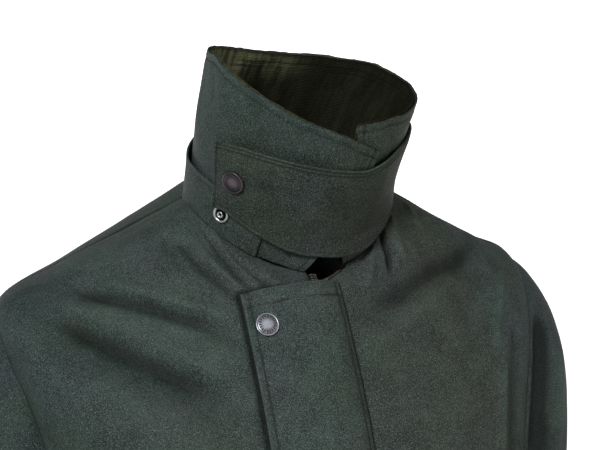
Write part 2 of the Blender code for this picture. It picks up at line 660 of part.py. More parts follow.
# ---------------------------------------------------------------- zip slider and pull
def prism(outline, low, high):
    """A closed mesh: an outline in X and Y, from low to high."""
    mesh = bmesh.new()
    foot = [mesh.verts.new((x, y, low)) for x, y in outline]
    top = [mesh.verts.new((x, y, high)) for x, y in outline]
    mesh.faces.new(foot[::-1])
    mesh.faces.new(top)
    for i in range(len(outline)):
        k = (i + 1) % len(outline)
        mesh.faces.new((foot[i], foot[k], top[k], top[i]))
    bmesh.ops.recalc_face_normals(mesh, faces=mesh.faces[:])
    data = bpy.data.meshes.new("prism")
    mesh.to_mesh(data)
    mesh.free()
    return data


def box(half, low, high, foot, top):
    """A box: half width in X, low to high in Y, foot to top in Z."""
    return prism(((-half, low), (half, low), (half, high), (-half, high)), foot, top)


def combined(name, steps, place, material):
    """One solid from (operation, mesh) steps; the first step's mesh is what the rest act on."""
    piece = add_object(name, steps[0][1], material)
    helpers = []
    for operation, mesh in steps[1:]:
        helper = bpy.data.objects.new(name + "_helper", mesh)
        collection().objects.link(helper)
        helpers.append(helper)
        change = piece.modifiers.new(operation, "BOOLEAN")
        change.operation = operation
        change.solver = "EXACT"
        change.object = helper
    bpy.context.view_layer.update()
    shaped = piece.evaluated_get(bpy.context.evaluated_depsgraph_get())
    piece.data = bpy.data.meshes.new_from_object(shaped)
    piece.modifiers.clear()
    for helper in helpers:
        bpy.data.objects.remove(helper, do_unlink=True)
    piece.matrix_world = place
    return piece


def make_slider():
    turn = turn_at(zip_x(SLIDER_RING), SLIDER_RING)
    place = seat(body_point(turn, SLIDER_RING), body_normal(turn, SLIDER_RING))
    post, post_low, post_high = SLIDER_POST
    bail, bail_low, bail_high = BAIL
    face_foot, face_top = SLIDER_FACE
    back_foot, back_top = SLIDER_BACK
    roof = face_top + BAIL_ROOM
    steps = [
        ("BASE", prism(SLIDER_OUTLINE, face_foot, face_top)),
        ("UNION", box(bail, bail_low, bail_high, (face_foot + face_top) / 2.0, roof + BAIL_BAR)),
        ("DIFFERENCE", box(2.0 * bail, bail_low + BAIL_BAR, bail_high - BAIL_BAR, face_top, roof)),
        ("UNION", box(post, post_low, post_high, (back_foot + back_top) / 2.0,
                      (face_foot + face_top) / 2.0)),
        ("UNION", prism(SLIDER_OUTLINE, back_foot, back_top)),
    ]
    combined("zip_slider", steps, place, steel("zip_slider"))
    window, window_low, window_high = PULL_WINDOW
    steps = [
        ("BASE", prism(PULL_OUTLINE, -PULL_HALF_THICK, PULL_HALF_THICK)),
        ("DIFFERENCE", box(window, window_low, window_high,
                           -2.0 * PULL_HALF_THICK, 2.0 * PULL_HALF_THICK)),
    ]
    combined("zip_pull", steps, place @ Matrix.Translation(HINGE), steel("zip_pull"))


# ---------------------------------------------------------------- the whole
def main():
    for old in list(bpy.data.objects):
        bpy.data.objects.remove(old, do_unlink=True)
    make_fronts()
    make_back()
    make_sleeve("sleeve_right", -1)
    make_sleeve("sleeve_left", 1)
    make_collar()
    make_stud_band()
    make_strap()
    make_storm_flap()
    make_tape("zip_tape_right", -1)
    make_tape("zip_tape_left", 1)
    make_slider()
    make_studs()


main()
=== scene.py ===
"""The waxed cotton jacket's finish: cloth with its creases, hems and stitching, corduroy inside
the collar, press studs, the zip's teeth, and a plain light studio."""

import math

import bpy
import bmesh
import numpy as np
from mathutils import Matrix, Vector


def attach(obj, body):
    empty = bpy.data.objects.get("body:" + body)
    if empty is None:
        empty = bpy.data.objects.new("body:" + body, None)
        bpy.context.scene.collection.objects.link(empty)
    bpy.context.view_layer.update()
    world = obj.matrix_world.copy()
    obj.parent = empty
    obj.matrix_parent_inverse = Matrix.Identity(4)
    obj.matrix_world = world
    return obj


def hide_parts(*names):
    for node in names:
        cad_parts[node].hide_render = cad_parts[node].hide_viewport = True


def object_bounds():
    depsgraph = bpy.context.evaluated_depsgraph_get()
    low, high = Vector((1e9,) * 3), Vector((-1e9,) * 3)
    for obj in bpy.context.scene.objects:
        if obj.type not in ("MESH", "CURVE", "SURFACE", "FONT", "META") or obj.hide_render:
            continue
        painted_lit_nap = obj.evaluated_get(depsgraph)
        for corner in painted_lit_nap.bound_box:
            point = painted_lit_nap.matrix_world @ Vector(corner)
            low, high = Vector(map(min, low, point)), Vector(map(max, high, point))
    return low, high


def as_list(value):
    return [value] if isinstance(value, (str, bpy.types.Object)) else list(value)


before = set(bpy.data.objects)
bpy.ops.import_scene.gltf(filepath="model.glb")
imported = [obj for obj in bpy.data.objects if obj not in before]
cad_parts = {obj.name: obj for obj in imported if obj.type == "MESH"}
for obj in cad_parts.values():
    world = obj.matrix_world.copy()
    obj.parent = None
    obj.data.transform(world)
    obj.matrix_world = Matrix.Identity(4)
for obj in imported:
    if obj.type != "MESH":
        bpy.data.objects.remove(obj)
CAD_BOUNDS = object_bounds()


def metres(value):
    """A table written in millimetres, in metres; words in it stay as they are."""
    if isinstance(value, tuple):
        return tuple(metres(part) for part in value)
    return value if isinstance(value, str) else value * 0.001


# ---------------------------------------------------------------- sizes shared with the solids
CLOTH = 0.0018
CORD_CLOTH = 0.0015
STRAP_CLOTH = 0.0026
TAPE = 0.0010
GAP = 0.0003

RING_COLUMNS = ("name", "mid_x", "half_width", "front", "back", "z_side", "z_front", "z_back", "square")
RINGS = (
    ("neck seam",      -0.0015, 0.0815, 0.0665, 0.070,  0.000, -0.045, 0.021, 2.00),
    ("collar bone",    -0.002, 0.103, 0.080, 0.087, -0.011, -0.055,  0.013, 2.00),
    ("yoke",           -0.0055, 0.140, 0.106, 0.113, -0.030, -0.092, -0.013, 2.04),
    ("shoulder",       -0.0095, 0.180, 0.133, 0.131, -0.049, -0.137, -0.048, 2.04),
    ("shoulder point", -0.013, 0.215, 0.151, 0.143, -0.068, -0.177, -0.090, 2.01),
    ("upper chest",    -0.011, 0.212, 0.162, 0.149, -0.120, -0.213, -0.150, 2.17),
    ("chest",          -0.009, 0.203, 0.167, 0.150, -0.192, -0.248, -0.203, 2.30),
    ("underarm",       -0.009, 0.204, 0.167, 0.148, -0.286, -0.295, -0.286, 2.40),
    ("midriff",        -0.008, 0.203, 0.160, 0.142, -0.400, -0.403, -0.400, 2.40),
    ("waist",          -0.007, 0.206, 0.156, 0.140, -0.515, -0.516, -0.515, 2.35),
    ("hip",            -0.005, 0.222, 0.160, 0.150, -0.645, -0.646, -0.645, 2.30),
    ("hem",            -0.004, 0.234, 0.164, 0.157, -0.770, -0.771, -0.770, 2.30),
)
BODY = "jacket"
FALL = 1.6                         # how sharply a ring falls away from its sides to its front and back
SHOULDER_RING = 4.0
CHEST_RING = 5.0
UNDERARM_RING = 7.0
HEM_RING = 11.0
ARMHOLE_CUT = 32.0
ARMHOLE_MIDDLE = (SHOULDER_RING + UNDERARM_RING) / 2.0
ARMHOLE_HALF = (UNDERARM_RING - SHOULDER_RING) / 2.0
SIDE_TURN = {1: 86.0, -1: 102.0}
SLEEVE_SWING = {1: -0.004, -1: 0.014}
NECK_LEAN = 22.0
NECK_FLARE = 0.0050
NECK_FLARE_RISE = 0.026
NECK_PROFILE = (           # rise, sway to the wearer's left, half width gained
    (0.0, 0.0, 0.0), (0.015, 0.0003, -0.0010), (0.03, 0.0006, -0.0016), (0.05, 0.0012, -0.0009),
    (0.07, 0.0026, 0.0003), (0.10, 0.0056, 0.0006), (0.125, 0.0070, 0.0006),
)

COLLAR_EDGE = (            # turn, rise
    (2.0, 0.1200), (20.0, 0.1183), (38.0, 0.1096), (56.0, 0.1010), (78.0, 0.0931), (102.0, 0.0972),
    (122.0, 0.0998), (145.0, 0.0967), (167.0, 0.0946), (183.0, 0.0960), (200.0, 0.1012),
    (221.0, 0.1105), (240.0, 0.1190), (258.0, 0.1225), (276.0, 0.1230), (292.0, 0.1194),
    (307.0, 0.1188), (322.0, 0.1183), (334.0, 0.1173), (346.0, 0.1161), (357.0, 0.1117),
    (368.0, 0.1039), (378.0, 0.0952),
)
COLLAR_LEFT_END = (13.0, 2.6)
COLLAR_RIGHT_END = (350.0, 378.0)
COLLAR_OVERLAP = 0.0042
NECK_LAP = -0.0006                 # how far the collar's foot reaches into the neck seam

BAND_FOOT = CLOTH + 0.0004
BAND_EDGE = (              # turn, rise of the top edge, how far it stands off
    (212.0, 0.0400, 0.0030), (235.0, 0.0400, 0.0026), (258.0, 0.0370, 0.0020),
    (280.0, 0.0330, 0.0014), (294.0, 0.0330, 0.0012), (310.0, 0.0307, 0.0010),
    (327.5, 0.0277, 0.0010),
)
STRAP_EDGES = (            # turn, rise of lower and top edge, outer face
    (126.0, 0.0015, 0.0540, 0.0029), (104.0, 0.0015, 0.0600, 0.0030),
    (82.0, 0.0018, 0.0663, 0.0031), (60.0, 0.0040, 0.0745, 0.0032), (42.0, 0.0065, 0.0804, 0.0040),
    (34.0, 0.0074, 0.0819, 0.0054), (26.0, 0.0081, 0.0828, 0.0074), (12.0, 0.0098, 0.0827, 0.0088),
    (-2.0, 0.0131, 0.0860, 0.0090), (-18.0, 0.0149, 0.0869, 0.0090),
    (-34.0, 0.0186, 0.0843, 0.0090), (-50.0, 0.0215, 0.0792, 0.0088),
    (-57.0, 0.0223, 0.0753, 0.0088), (-65.0, 0.0195, 0.0709, 0.0086),
)
STRAP_SLANT = 3.4
ZIP_EDGE = 0.0065
ZIP_X = -0.008
ZIP_NECK_X = 0.003
ZIP_SHUT_RING = 0.95
ZIP_SPREAD = 0.0100
TAPE_EDGES = (0.0012, 0.0140)
RIGHT_STATIONS = (0.0065, 0.0220, 0.0410, 0.0600)
LEFT_STATIONS = (0.0065, 0.0145, 0.0320, 0.0500)
FRONT_SIDES = {            # seed, width under the flap, half width and depth of the tuck at its edge
    -1: (3.0, 0.050, 0.0026, 0.0013), 1: (11.0, 0.004, 0.0020, 0.0008),
}
FLAP_STATIONS = (0.0145, 0.0065, -0.0065, -0.0220, -0.0410, -0.0600)
FLAP_OUT = (0.0010, 0.0058, 0.0088, 0.0066, 0.0032, 0.0014)
FLAP_TOP_RING = (0.88, 0.90, 0.92, 1.00, 1.16, 1.40)
FLAP_HEM_RING = HEM_RING - 0.06

SLEEVE_COLUMNS = ("name", "x", "y", "z", "half_thick", "half_wide")
SLEEVES = (
    ("underarm", 0.232, 0.016, -0.318, 0.0220, 0.090),
    ("bicep",    0.237, 0.014, -0.400, 0.0240, 0.088),
    ("elbow",    0.247, 0.006, -0.505, 0.0250, 0.080),
    ("forearm",  0.259, -0.006, -0.610, 0.0250, 0.072),
    ("cuff",     0.272, -0.020, -0.700, 0.0265, 0.064),
)

SEAM_FADE = 0.20                   # how far from the body's sides, as a cosine, its folds fade out
# Creases that the solids have too, seen from the front or the back: where each starts and ends, its
# bow sideways, half width and depth, in millimetres.
FOLDS = metres((
    ("front", -190, -47, -66, -79, -6, 14, -6),
    ("front", -205, -63, -70, -125, -2, 18, -7.5),
    ("front", 130, -38, 20, -80, 3, 14, -3),
    ("front", 158, -52, 105, -100, 0, 14, -3.5),
    ("front", -200, -330, -70, -400, 10, 26, -7),
    ("front", 190, -350, 60, -430, -8, 28, -6),
    ("front", -120, -480, -140, -780, 10, 24, -7),
    ("front", 105, -500, 130, -780, -10, 26, -7),
    ("back", 150, -130, 30, -240, 10, 26, -6),
    ("back", -155, -120, -40, -260, -12, 24, -7),
    ("back", 190, -430, 20, -500, 8, 26, -6),
    ("back", -185, -400, -30, -485, -10, 24, -6),
    ("back", 90, -520, 110, -780, 8, 26, -8),
    ("back", -70, -540, -100, -780, -8, 28, -8),
))

# Finer creases, in millimetres: half width, depth, and the (x, z) places that the line runs through.
FRONT_CREASES = metres((
    (5.5, -5.4, (-184, -50), (-160, -56), (-131, -61), (-105, -69), (-60, -83)),
    (5.5, 2.8, (-168, -45), (-128, -53), (-97, -63), (-62, -76)),
    (8.5, 3, (-172, -62), (-152, -64), (-119, -73), (-93, -83), (-66, -93)),
    (7, 2.6, (-196, -57), (-176, -62), (-145, -74), (-116, -88), (-68, -115)),
    (9.5, -5.2, (-197, -65), (-174, -77), (-146, -91), (-116, -106), (-64, -133)),
    (13, 2.8, (-190, -92), (-140, -115), (-95, -140)),
    (5, 2.2, (-186, -45), (-165, -39), (-148, -34), (-120, -25)),
    (5.5, -2.6, (-111, -20), (-106, -26), (-99, -42)),
    (4.2, -3.6, (-106, -18), (-95, -29), (-86, -40), (-62, -58)),
    (3.2, 2.4, (-90, -18), (-83, -32), (-74, -43), (-60, -56)),
    (3.2, -3.4, (-83, -12), (-74, -28), (-67, -39), (-55, -54)),
    (3, 2.1, (-77, -14), (-68, -28), (-60, -40), (-48, -52)),
    (3, -3, (-74, -18), (-64, -33), (-55, -42), (-38, -55)),
    (3.2, -5.7, (59, -18), (57, -30), (57, -40), (52, -56)),
    (4.2, 3.4, (72, -14), (68, -27), (69, -46)),
    (3.2, 2.6, (50, -30), (40, -42), (29, -60)),
    (9.5, -4.8, (172, -42), (130, -52), (96, -57), (60, -67), (12, -79)),
    (9.5, 3.6, (130, -59), (85, -69), (55, -79), (14, -96)),
    (3.4, 2.4, (92, -10), (94, -20), (101, -31)),
    (3.4, 2.4, (98, -21), (119, -26), (142, -34)),
    (4.2, 3.6, (180, -60), (155, -81), (140, -98), (128, -122)),
    (4.4, 3.4, (143, -110), (130, -145), (121, -180), (116, -240)),
    (8, -2.8, (166, -92), (154, -116), (143, -150), (134, -200), (130, -260)),
))

SLEEVE_CUTS = (108.0, 270.0)       # ways round at which a sleeve's two pieces meet
SLEEVE_LEVELS = len(SLEEVES) - 1.0
SLEEVE_WAY = 0.0011                # metres round the sleeve for a degree
SHORTEST_CAP = 0.05
SLEEVE_BOW = 0.006                 # how far a sleeve's creases sag in the middle
SLEEVE_FRONT_CREASES = metres((    # on the left sleeve's front, as FRONT_CREASES
    (11.5, -7.2, (204, -98), (194, -122), (182, -150), (172, -190), (176, -270)),
    (7, 3, (224, -128), (214, -148), (204, -180), (200, -240)),
))
SLEEVE_CREASES = (                 # way round and height where each starts and ends, half width, depth
    ((78.0, -0.215), (92.0, -0.262), 0.010, -0.0030),
    ((100.0, -0.150), (60.0, -0.225), 0.012, -0.0025),
    ((112.0, -0.330), (70.0, -0.352), 0.009, -0.0030),
    ((60.0, -0.395), (118.0, -0.440), 0.010, -0.0035),
    ((120.0, -0.480), (50.0, -0.505), 0.011, -0.0040),
    ((40.0, -0.535), (110.0, -0.552), 0.010, -0.0035),
    ((300.0, -0.460), (250.0, -0.515), 0.011, -0.0040),
    ((235.0, -0.530), (300.0, -0.560), 0.010, -0.0035),
    ((330.0, -0.300), (285.0, -0.370), 0.012, -0.0030),
    ((20.0, -0.590), (80.0, -0.640), 0.010, -0.0025),
    ((200.0, -0.400), (160.0, -0.470), 0.010, -0.0030),
)

COLLAR_CALM = 0.012                # how far below its top edge the collar's cloth is held flat
COLLAR_RIM = 0.004                 # how far down its stiff rim reaches

SHOULDER_FOOT = -0.068             # height at which the shoulder seam gives way to the armhole
# How far rows of stitches are from the edges that they follow, and the stitches' and teeth's spacing.
SIDE_STITCH = 0.006
HEM_STITCH = 0.022
CUFF_STITCH = 0.020
COLLAR_STITCH = 0.0064
COLLAR_END_STITCH = 0.0050
LINING_ROWS = (0.0085, 0.0125)
BAND_STITCH = 0.0040
STRAP_STITCHES = (0.0017, 0.0042)
STRAP_END_STITCH = 0.0034
FLAP_STITCH = 0.0118
FLAP_EDGE_STITCH = 0.0056
FLAP_SEAM_STITCH = 0.0050
STITCH_PITCH = 0.0034
TOOTH_PITCH = 0.0026

STUD_LIFT = 0.0008
FLAP_STUD_X = -0.0465
FLAP_STUD_RINGS = (1.74, 4.20, 6.35, 7.60, 8.60, 9.55, 10.45)
STRAP_STUD = (-50.6, 0.0510, 0.0088)    # turn, rise, how far it stands off the neck
BAND_STUD = (-57.0, 0.0164)
CAP_PROFILE = (    # radius and height in millimetres, painted shade and highlight from dark (-1) to bright (1)
    (0, 2.46, 1), (1.4, 2.44, 1), (2.8, 2.36, 0.7), (4, 2.25, 0), (5, 2.12, -0.3), (6.2, 1.91, -0.3),
    (6.7, 1.8, -0.5), (6.95, 1.66, -0.9), (7.2, 1.64, -0.8), (7.5, 1.78, 0.2), (7.8, 1.86, 0.5),
    (8.1, 1.76, 0.1), (8.3, 1.5, -0.4), (8.4, 1.1, -0.9), (8.3, 0.6, -1), (8, 0.2, -1), (7.4, 0, -1),
    (0, 0, -1),
)
RING_PROFILE = (    # as CAP_PROFILE
    (0, 0.8, -1), (0.8, 0.82, -1), (1.1, 1.1, -0.9), (1.3, 1.8, 0.6), (1.7, 2.12, 1), (2.1, 2.16, 1),
    (2.4, 2, 0.5), (2.6, 1.5, -0.9), (2.8, 0.8, -1), (3.2, 0.62, -1), (4.2, 0.62, -1), (4.5, 0.78, -0.7),
    (4.7, 1.12, 0.6), (5.1, 1.34, 1), (5.8, 1.42, 1), (6.2, 1.18, 0.6), (6.4, 0.8, -0.3), (6.4, 0.3, -1),
    (6.2, 0, -1), (0, 0, -1),
)
LATHE_STEPS = 48
TICKS = 18
TICK_RADIUS = 0.0054
TICK_HEIGHT = 0.00214


# ---------------------------------------------------------------- curves, noise and small helpers
def spline(values, at):
    """A smooth curve through evenly spaced values, read at fractional places."""
    values = np.asarray(values, float)
    last = len(values) - 1
    at = np.clip(np.asarray(at, float), 0.0, last)
    i = np.minimum(at.astype(int), last - 1)
    t = at - i
    padded = np.concatenate(([2.0 * values[0] - values[1]], values, [2.0 * values[-1] - values[-2]]))
    p0, p1, p2, p3 = (padded[i + k] for k in range(4))
    return 0.5 * (2.0 * p1 + (p2 - p0) * t + (2.0 * p0 - 5.0 * p1 + 4.0 * p2 - p3) * t * t
                  + (3.0 * p1 - p0 - 3.0 * p2 + p3) * t ** 3)


def table_curve(rows, column, at):
    """A smooth curve through a table's column, against its first column."""
    rows = sorted(rows)
    index = np.interp(at, [row[0] for row in rows], range(len(rows)))
    return spline([row[column] for row in rows], index)


def smooth(t):
    """From 0 to 1 without a corner, and held there."""
    t = np.clip(t, 0.0, 1.0)
    return t * t * (3.0 - 2.0 * t)


def bell(away, width):
    """1 on a line, dying away to each side of it."""
    return np.exp(-(away / width) ** 2)


def stack(*columns):
    """Columns side by side along a last axis."""
    return np.stack(np.broadcast_arrays(*columns), axis=-1)


def mottle(u, v, size, seed):
    """Smooth random values from -1 to 1 over a plane, in patches of this size."""
    u, v = np.asarray(u) / size + seed * 17.31, np.asarray(v) / size - seed * 9.73
    iu, iv = np.floor(u), np.floor(v)
    fu, fv = smooth(u - iu), smooth(v - iv)

    def lattice(a, b):
        wave = np.sin(a * 127.1 + b * 311.7 + seed * 74.7) * 43758.5453
        return 2.0 * (wave - np.floor(wave)) - 1.0

    low = lattice(iu, iv) * (1.0 - fu) + lattice(iu + 1.0, iv) * fu
    high = lattice(iu, iv + 1.0) * (1.0 - fu) + lattice(iu + 1.0, iv + 1.0) * fu
    return low * (1.0 - fv) + high * fv


def crease(x, z, line, half_width, depth, fade=0.26, taper=0.0):
    """A soft ridge or trough along a line through (x, z) places, fading at both ends."""
    xs = spline([p[0] for p in line], np.linspace(0, len(line) - 1, 12 * len(line)))
    zs = spline([p[1] for p in line], np.linspace(0, len(line) - 1, 12 * len(line)))
    share = np.linspace(0.0, 1.0, len(xs))
    best = np.full(np.shape(x), 1e9)
    where = np.zeros(np.shape(x))
    for i in range(len(xs) - 1):
        run = np.array((xs[i + 1] - xs[i], zs[i + 1] - zs[i]))
        t = np.clip(((x - xs[i]) * run[0] + (z - zs[i]) * run[1]) / float(run @ run), 0.0, 1.0)
        away = np.hypot(x - xs[i] - run[0] * t, z - zs[i] - run[1] * t)
        nearer = away < best
        best = np.where(nearer, away, best)
        where = np.where(nearer, share[i] + (share[i + 1] - share[i]) * t, where)
    ends = smooth(where / fade) * smooth((1.0 - where) / fade)
    wide = half_width * (1.0 - taper * (1.0 - smooth(where / 0.55)))
    return depth * ends * bell(best, wide)


def linked(name, data, material=None):
    """A new object in the scene, with its material."""
    made = bpy.data.objects.new(name, data)
    bpy.context.scene.collection.objects.link(made)
    if material is not None:
        data.materials.append(material)
    return made


def dressed(name, mesh, material):
    """A piece that shows in place of the solid of its name."""
    piece = linked(name, mesh, material)
    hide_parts(name)
    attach(piece, BODY)
    return piece


def unit(vectors):
    return vectors / np.maximum(np.linalg.norm(vectors, axis=-1, keepdims=True), 1e-12)


# ---------------------------------------------------------------- the garment's surfaces
RING_TABLE = {name: [row[i] for row in RINGS] for i, name in enumerate(RING_COLUMNS) if i}
SLEEVE_TABLE = {name: [row[i] for row in SLEEVES] for i, name in enumerate(SLEEVE_COLUMNS) if i}


def ring_size(column, ring):
    return spline(RING_TABLE[column], ring)


def bare_body(turn, ring):
    angle = np.radians(turn)
    across, ahead = np.sin(angle), np.cos(angle)
    power = 2.0 / ring_size("square", ring)
    depth = np.where(ahead > 0, ring_size("front", ring), ring_size("back", ring))
    x = ring_size("half_width", ring) * np.sign(across) * np.abs(across) ** power
    x = x + ring_size("mid_x", ring)
    y = -depth * np.sign(ahead) * np.abs(ahead) ** power
    z_side = ring_size("z_side", ring)
    z = z_side + np.maximum(ahead, 0.0) ** FALL * (ring_size("z_front", ring) - z_side)
    z = z + np.maximum(-ahead, 0.0) ** FALL * (ring_size("z_back", ring) - z_side)
    return stack(x, y, z)


def body_normal(turn, ring):
    low = np.minimum(ring + 0.05, HEM_RING)
    high = np.maximum(ring - 0.05, 0.0)
    along = bare_body(turn + 0.5, ring) - bare_body(turn - 0.5, ring)
    down = bare_body(turn, low) - bare_body(turn, high)
    return unit(np.cross(down, along))


def fold_height(x, z, side):
    height = np.zeros(np.shape(x))
    for fold_side, x0, z0, x1, z1, bow, half_width, depth in FOLDS:
        if fold_side != side:
            continue
        length = math.hypot(x1 - x0, z1 - z0)
        rx, rz = (x1 - x0) / length, (z1 - z0) / length
        along = ((x - x0) * rx + (z - z0) * rz) / length
        aside = (z - z0) * rx - (x - x0) * rz - bow * 4.0 * along * (1.0 - along)
        fade = smooth(along / 0.3) * smooth((1.0 - along) / 0.25)
        height += depth * fade * bell(aside, half_width)
    return height


def body(turn, ring, out=0.0):
    """Points on the outer face of the body cloth, or out metres over it."""
    turn, ring = np.broadcast_arrays(np.asarray(turn, float), np.asarray(ring, float))
    point = bare_body(turn, ring)
    ahead = np.cos(np.radians(turn))
    folds = np.where(ahead > 0, fold_height(point[..., 0], point[..., 2], "front"),
                     fold_height(point[..., 0], point[..., 2], "back"))
    lift = out + smooth(np.abs(ahead) / SEAM_FADE) * folds
    return point + body_normal(turn, ring) * np.asarray(lift)[..., None]


def turn_at(x, ring):
    power = ring_size("square", ring) / 2.0
    x = x - ring_size("mid_x", ring)
    share = np.minimum(np.abs(x) / ring_size("half_width", ring), 1.0)
    return np.sign(x) * np.degrees(np.arcsin(share ** power))


def zip_spread(ring):
    return ZIP_SPREAD * smooth((ZIP_SHUT_RING - ring) / ZIP_SHUT_RING)


def zip_x(ring):
    return ZIP_X + (ZIP_NECK_X - ZIP_X) * smooth((ZIP_SHUT_RING - ring) / ZIP_SHUT_RING)


def armhole_turn(ring):
    share = (ring - ARMHOLE_MIDDLE) / ARMHOLE_HALF
    return ARMHOLE_CUT * np.sqrt(np.maximum(1.0 - share * share, 0.0))


def round_neck(rise, turn):
    """The way out from the neck, at any height."""
    angle = np.radians(turn)
    return stack(np.sin(angle), -np.cos(angle), 0.0)


def neck(turn, rise, out=0.0):
    """Points round the neck, rise over the neck seam along the leaning neck."""
    turn, rise, out = np.broadcast_arrays(np.asarray(turn, float), rise, out)
    lean = math.radians(NECK_LEAN)
    axis = np.array((0.0, -math.sin(lean), math.cos(lean)))
    sway = np.array((1.0, 0.0, 0.0)) * table_curve(NECK_PROFILE, 1, rise)[..., None]
    ahead = np.maximum(np.cos(np.radians(turn)), 0.0)
    flare = NECK_FLARE * ahead ** FALL * smooth(rise / NECK_FLARE_RISE)
    return (bare_body(turn, np.zeros_like(turn)) + axis * rise[..., None] + sway
            + round_neck(rise, turn) * (out - flare + table_curve(NECK_PROFILE, 2, rise))[..., None])


def sleeve_tube(around, level, side):
    size = {name: spline(SLEEVE_TABLE[name], level) for name in SLEEVE_TABLE}
    angle = np.radians(around)
    thick = size["half_thick"] * np.cos(angle)
    wide = size["half_wide"] * np.sin(angle)
    x = float(ring_size("mid_x", UNDERARM_RING)) + side * (size["x"] + thick)
    y = size["y"] + SLEEVE_SWING[side] - wide
    return stack(x, y, size["z"] - thick * 0.15)


def armhole_place(around, side):
    """The turn and ring of the armhole at this way round, 0 on top, 90 in front, 180 below."""
    around = np.mod(np.asarray(around, float), 360.0)
    climb = np.where(around <= 180.0, around, 360.0 - around)
    ring = ARMHOLE_MIDDLE - ARMHOLE_HALF * np.cos(np.radians(climb))
    cut = armhole_turn(ring)
    return SIDE_TURN[side] + np.where(around <= 180.0, -cut, cut), ring


def sleeve_cap(around, t, side):
    """From t = 0 at the armhole to t = 1 at the sleeve's first ring: a curve that leaves the seam
    outwards, further out and longer over the top, and arrives nearly straight down."""
    turn, ring = armhole_place(around, side)
    seam = body(side * turn, ring)
    low = sleeve_tube(around, 0.0, side)
    angle = np.radians(around)
    top, under = np.maximum(np.cos(angle), 0.0), np.maximum(-np.cos(angle), 0.0)
    leave = stack(side * (0.82 - 0.22 * under), 0.25 * -np.sin(angle), -0.58 - 0.22 * under)
    reach = np.maximum(np.linalg.norm(low - seam, axis=-1), SHORTEST_CAP)
    start = leave * ((0.62 + 0.56 * top) * reach)[..., None]
    arrive = np.array((side * 0.10, 0.0, -1.0)) * (reach * 0.9)[..., None]
    t = np.asarray(t)[..., None]
    t2, t3 = t * t, t ** 3
    return ((2 * t3 - 3 * t2 + 1) * seam + (t3 - 2 * t2 + t) * start
            + (3 * t2 - 2 * t3) * low + (t3 - t2) * arrive)


# ---------------------------------------------------------------- making cloth
EDGE_STEPS = np.array((0.0, 0.0003, 0.0008, 0.0016, 0.0030))    # how a hem rounds over
HALF_GAP = GAP / 2.0
THINNEST_EDGE = 0.04
SAMPLES = 900                      # places at which a line is measured


def run_length(points):
    """The distance along a line of points, from 0 at its first."""
    return np.concatenate(([0.0], np.cumsum(np.linalg.norm(np.diff(points, axis=0), axis=1))))


def read_at(at, run, rows):
    """What a line's rows say at this distance along it."""
    return np.array([np.interp(at, run, column) for column in rows.T])


def spaced(place, first, last, step, start=True, end=True, gap=HALF_GAP):
    """Parameters from first to last whose places lie step metres apart, closer at open edges."""
    samples = np.linspace(first, last, SAMPLES)
    length = run_length(place(samples))
    total = length[-1]
    head = EDGE_STEPS + gap if start else np.zeros(1)
    tail = total - (EDGE_STEPS[::-1] + gap) if end else np.array((total,))
    count = max(int(round((tail[0] - head[-1]) / step)), 2)
    middle = np.linspace(head[-1], tail[0], count + 1)
    return np.interp(np.concatenate((head[:-1], middle, tail[1:])), length, samples)


def down_column(place, column, first, last, step, **ends):
    """Rows of a place function, spaced down one of its columns."""
    return spaced(lambda r: place(r, np.full_like(r, column)), first, last, step, **ends)


def along_row(place, row, first, last, step):
    """Columns of a place function, spaced along one of its rows."""
    return spaced(lambda c: place(np.full_like(c, row), c), first, last, step)


def in_two_steps(place, column, first, change, last, fine, coarse, gap=HALF_GAP):
    """Rows down one column, fine up to a change and coarser after it."""
    upper = down_column(place, column, first, change, fine, end=False, gap=gap)
    return np.concatenate((upper, down_column(place, column, change, last, coarse, start=False)[1:]))


class Grid:
    """A grid of points on a piece's face, with the way along and down it in metres."""

    def __init__(self, points, normals):
        self.points, self.normals = points, normals
        wide = np.linalg.norm(np.diff(points, axis=1), axis=-1)
        high = np.linalg.norm(np.diff(points, axis=0), axis=-1)
        self.u = np.concatenate((np.zeros((len(points), 1)), np.cumsum(wide, axis=1)), axis=1)
        self.v = np.concatenate((np.zeros((1, points.shape[1])), np.cumsum(high, axis=0)), axis=0)
        self.last_u = self.u[:, -1:]
        self.left, self.right = self.u, self.last_u - self.u
        self.top, self.bottom = self.v, self.v[-1:] - self.v
        self.x, self.y, self.z = points[..., 0], points[..., 1], points[..., 2]


def grid_normals(points, outward):
    """Unit normals of a grid, turned to the side where outward is positive."""
    normal = unit(np.cross(np.gradient(points, axis=0), np.gradient(points, axis=1)))
    return normal * np.sign(np.sum(normal * outward, axis=-1, keepdims=True).mean())


def rolled(grid, thick, joined):
    """How much of the wall's thickness is left where edges that aren't joined round over."""
    share = np.ones_like(grid.u)
    for edge in {"top", "bottom", "left", "right"} - set(joined):
        near = np.clip(getattr(grid, edge) / (0.5 * thick), 0.0, 1.0)
        share = np.minimum(share, np.sqrt(np.maximum(1.0 - (1.0 - near) ** 2, THINNEST_EDGE)))
    return share


def wall_faces(rows, columns):
    """The faces of a wall between two grids of points, its outer side first."""
    count = rows * columns
    i, j = np.arange(rows - 1) * columns, np.arange(columns - 1)
    corner = (i[:, None] + j).reshape(-1)
    face = stack(corner, corner + 1, corner + 1 + columns, corner + columns)
    foot, last = count - columns, columns - 1
    strips = [(j, j + count, j + 1 + count, j + 1),
              (j + foot, j + 1 + foot, j + 1 + foot + count, j + foot + count),
              (i, i + columns, i + columns + count, i + count),
              (i + last, i + last + count, i + columns + last + count, i + columns + last)]
    return np.concatenate([face, face[:, ::-1] + count] + [stack(*strip) for strip in strips])


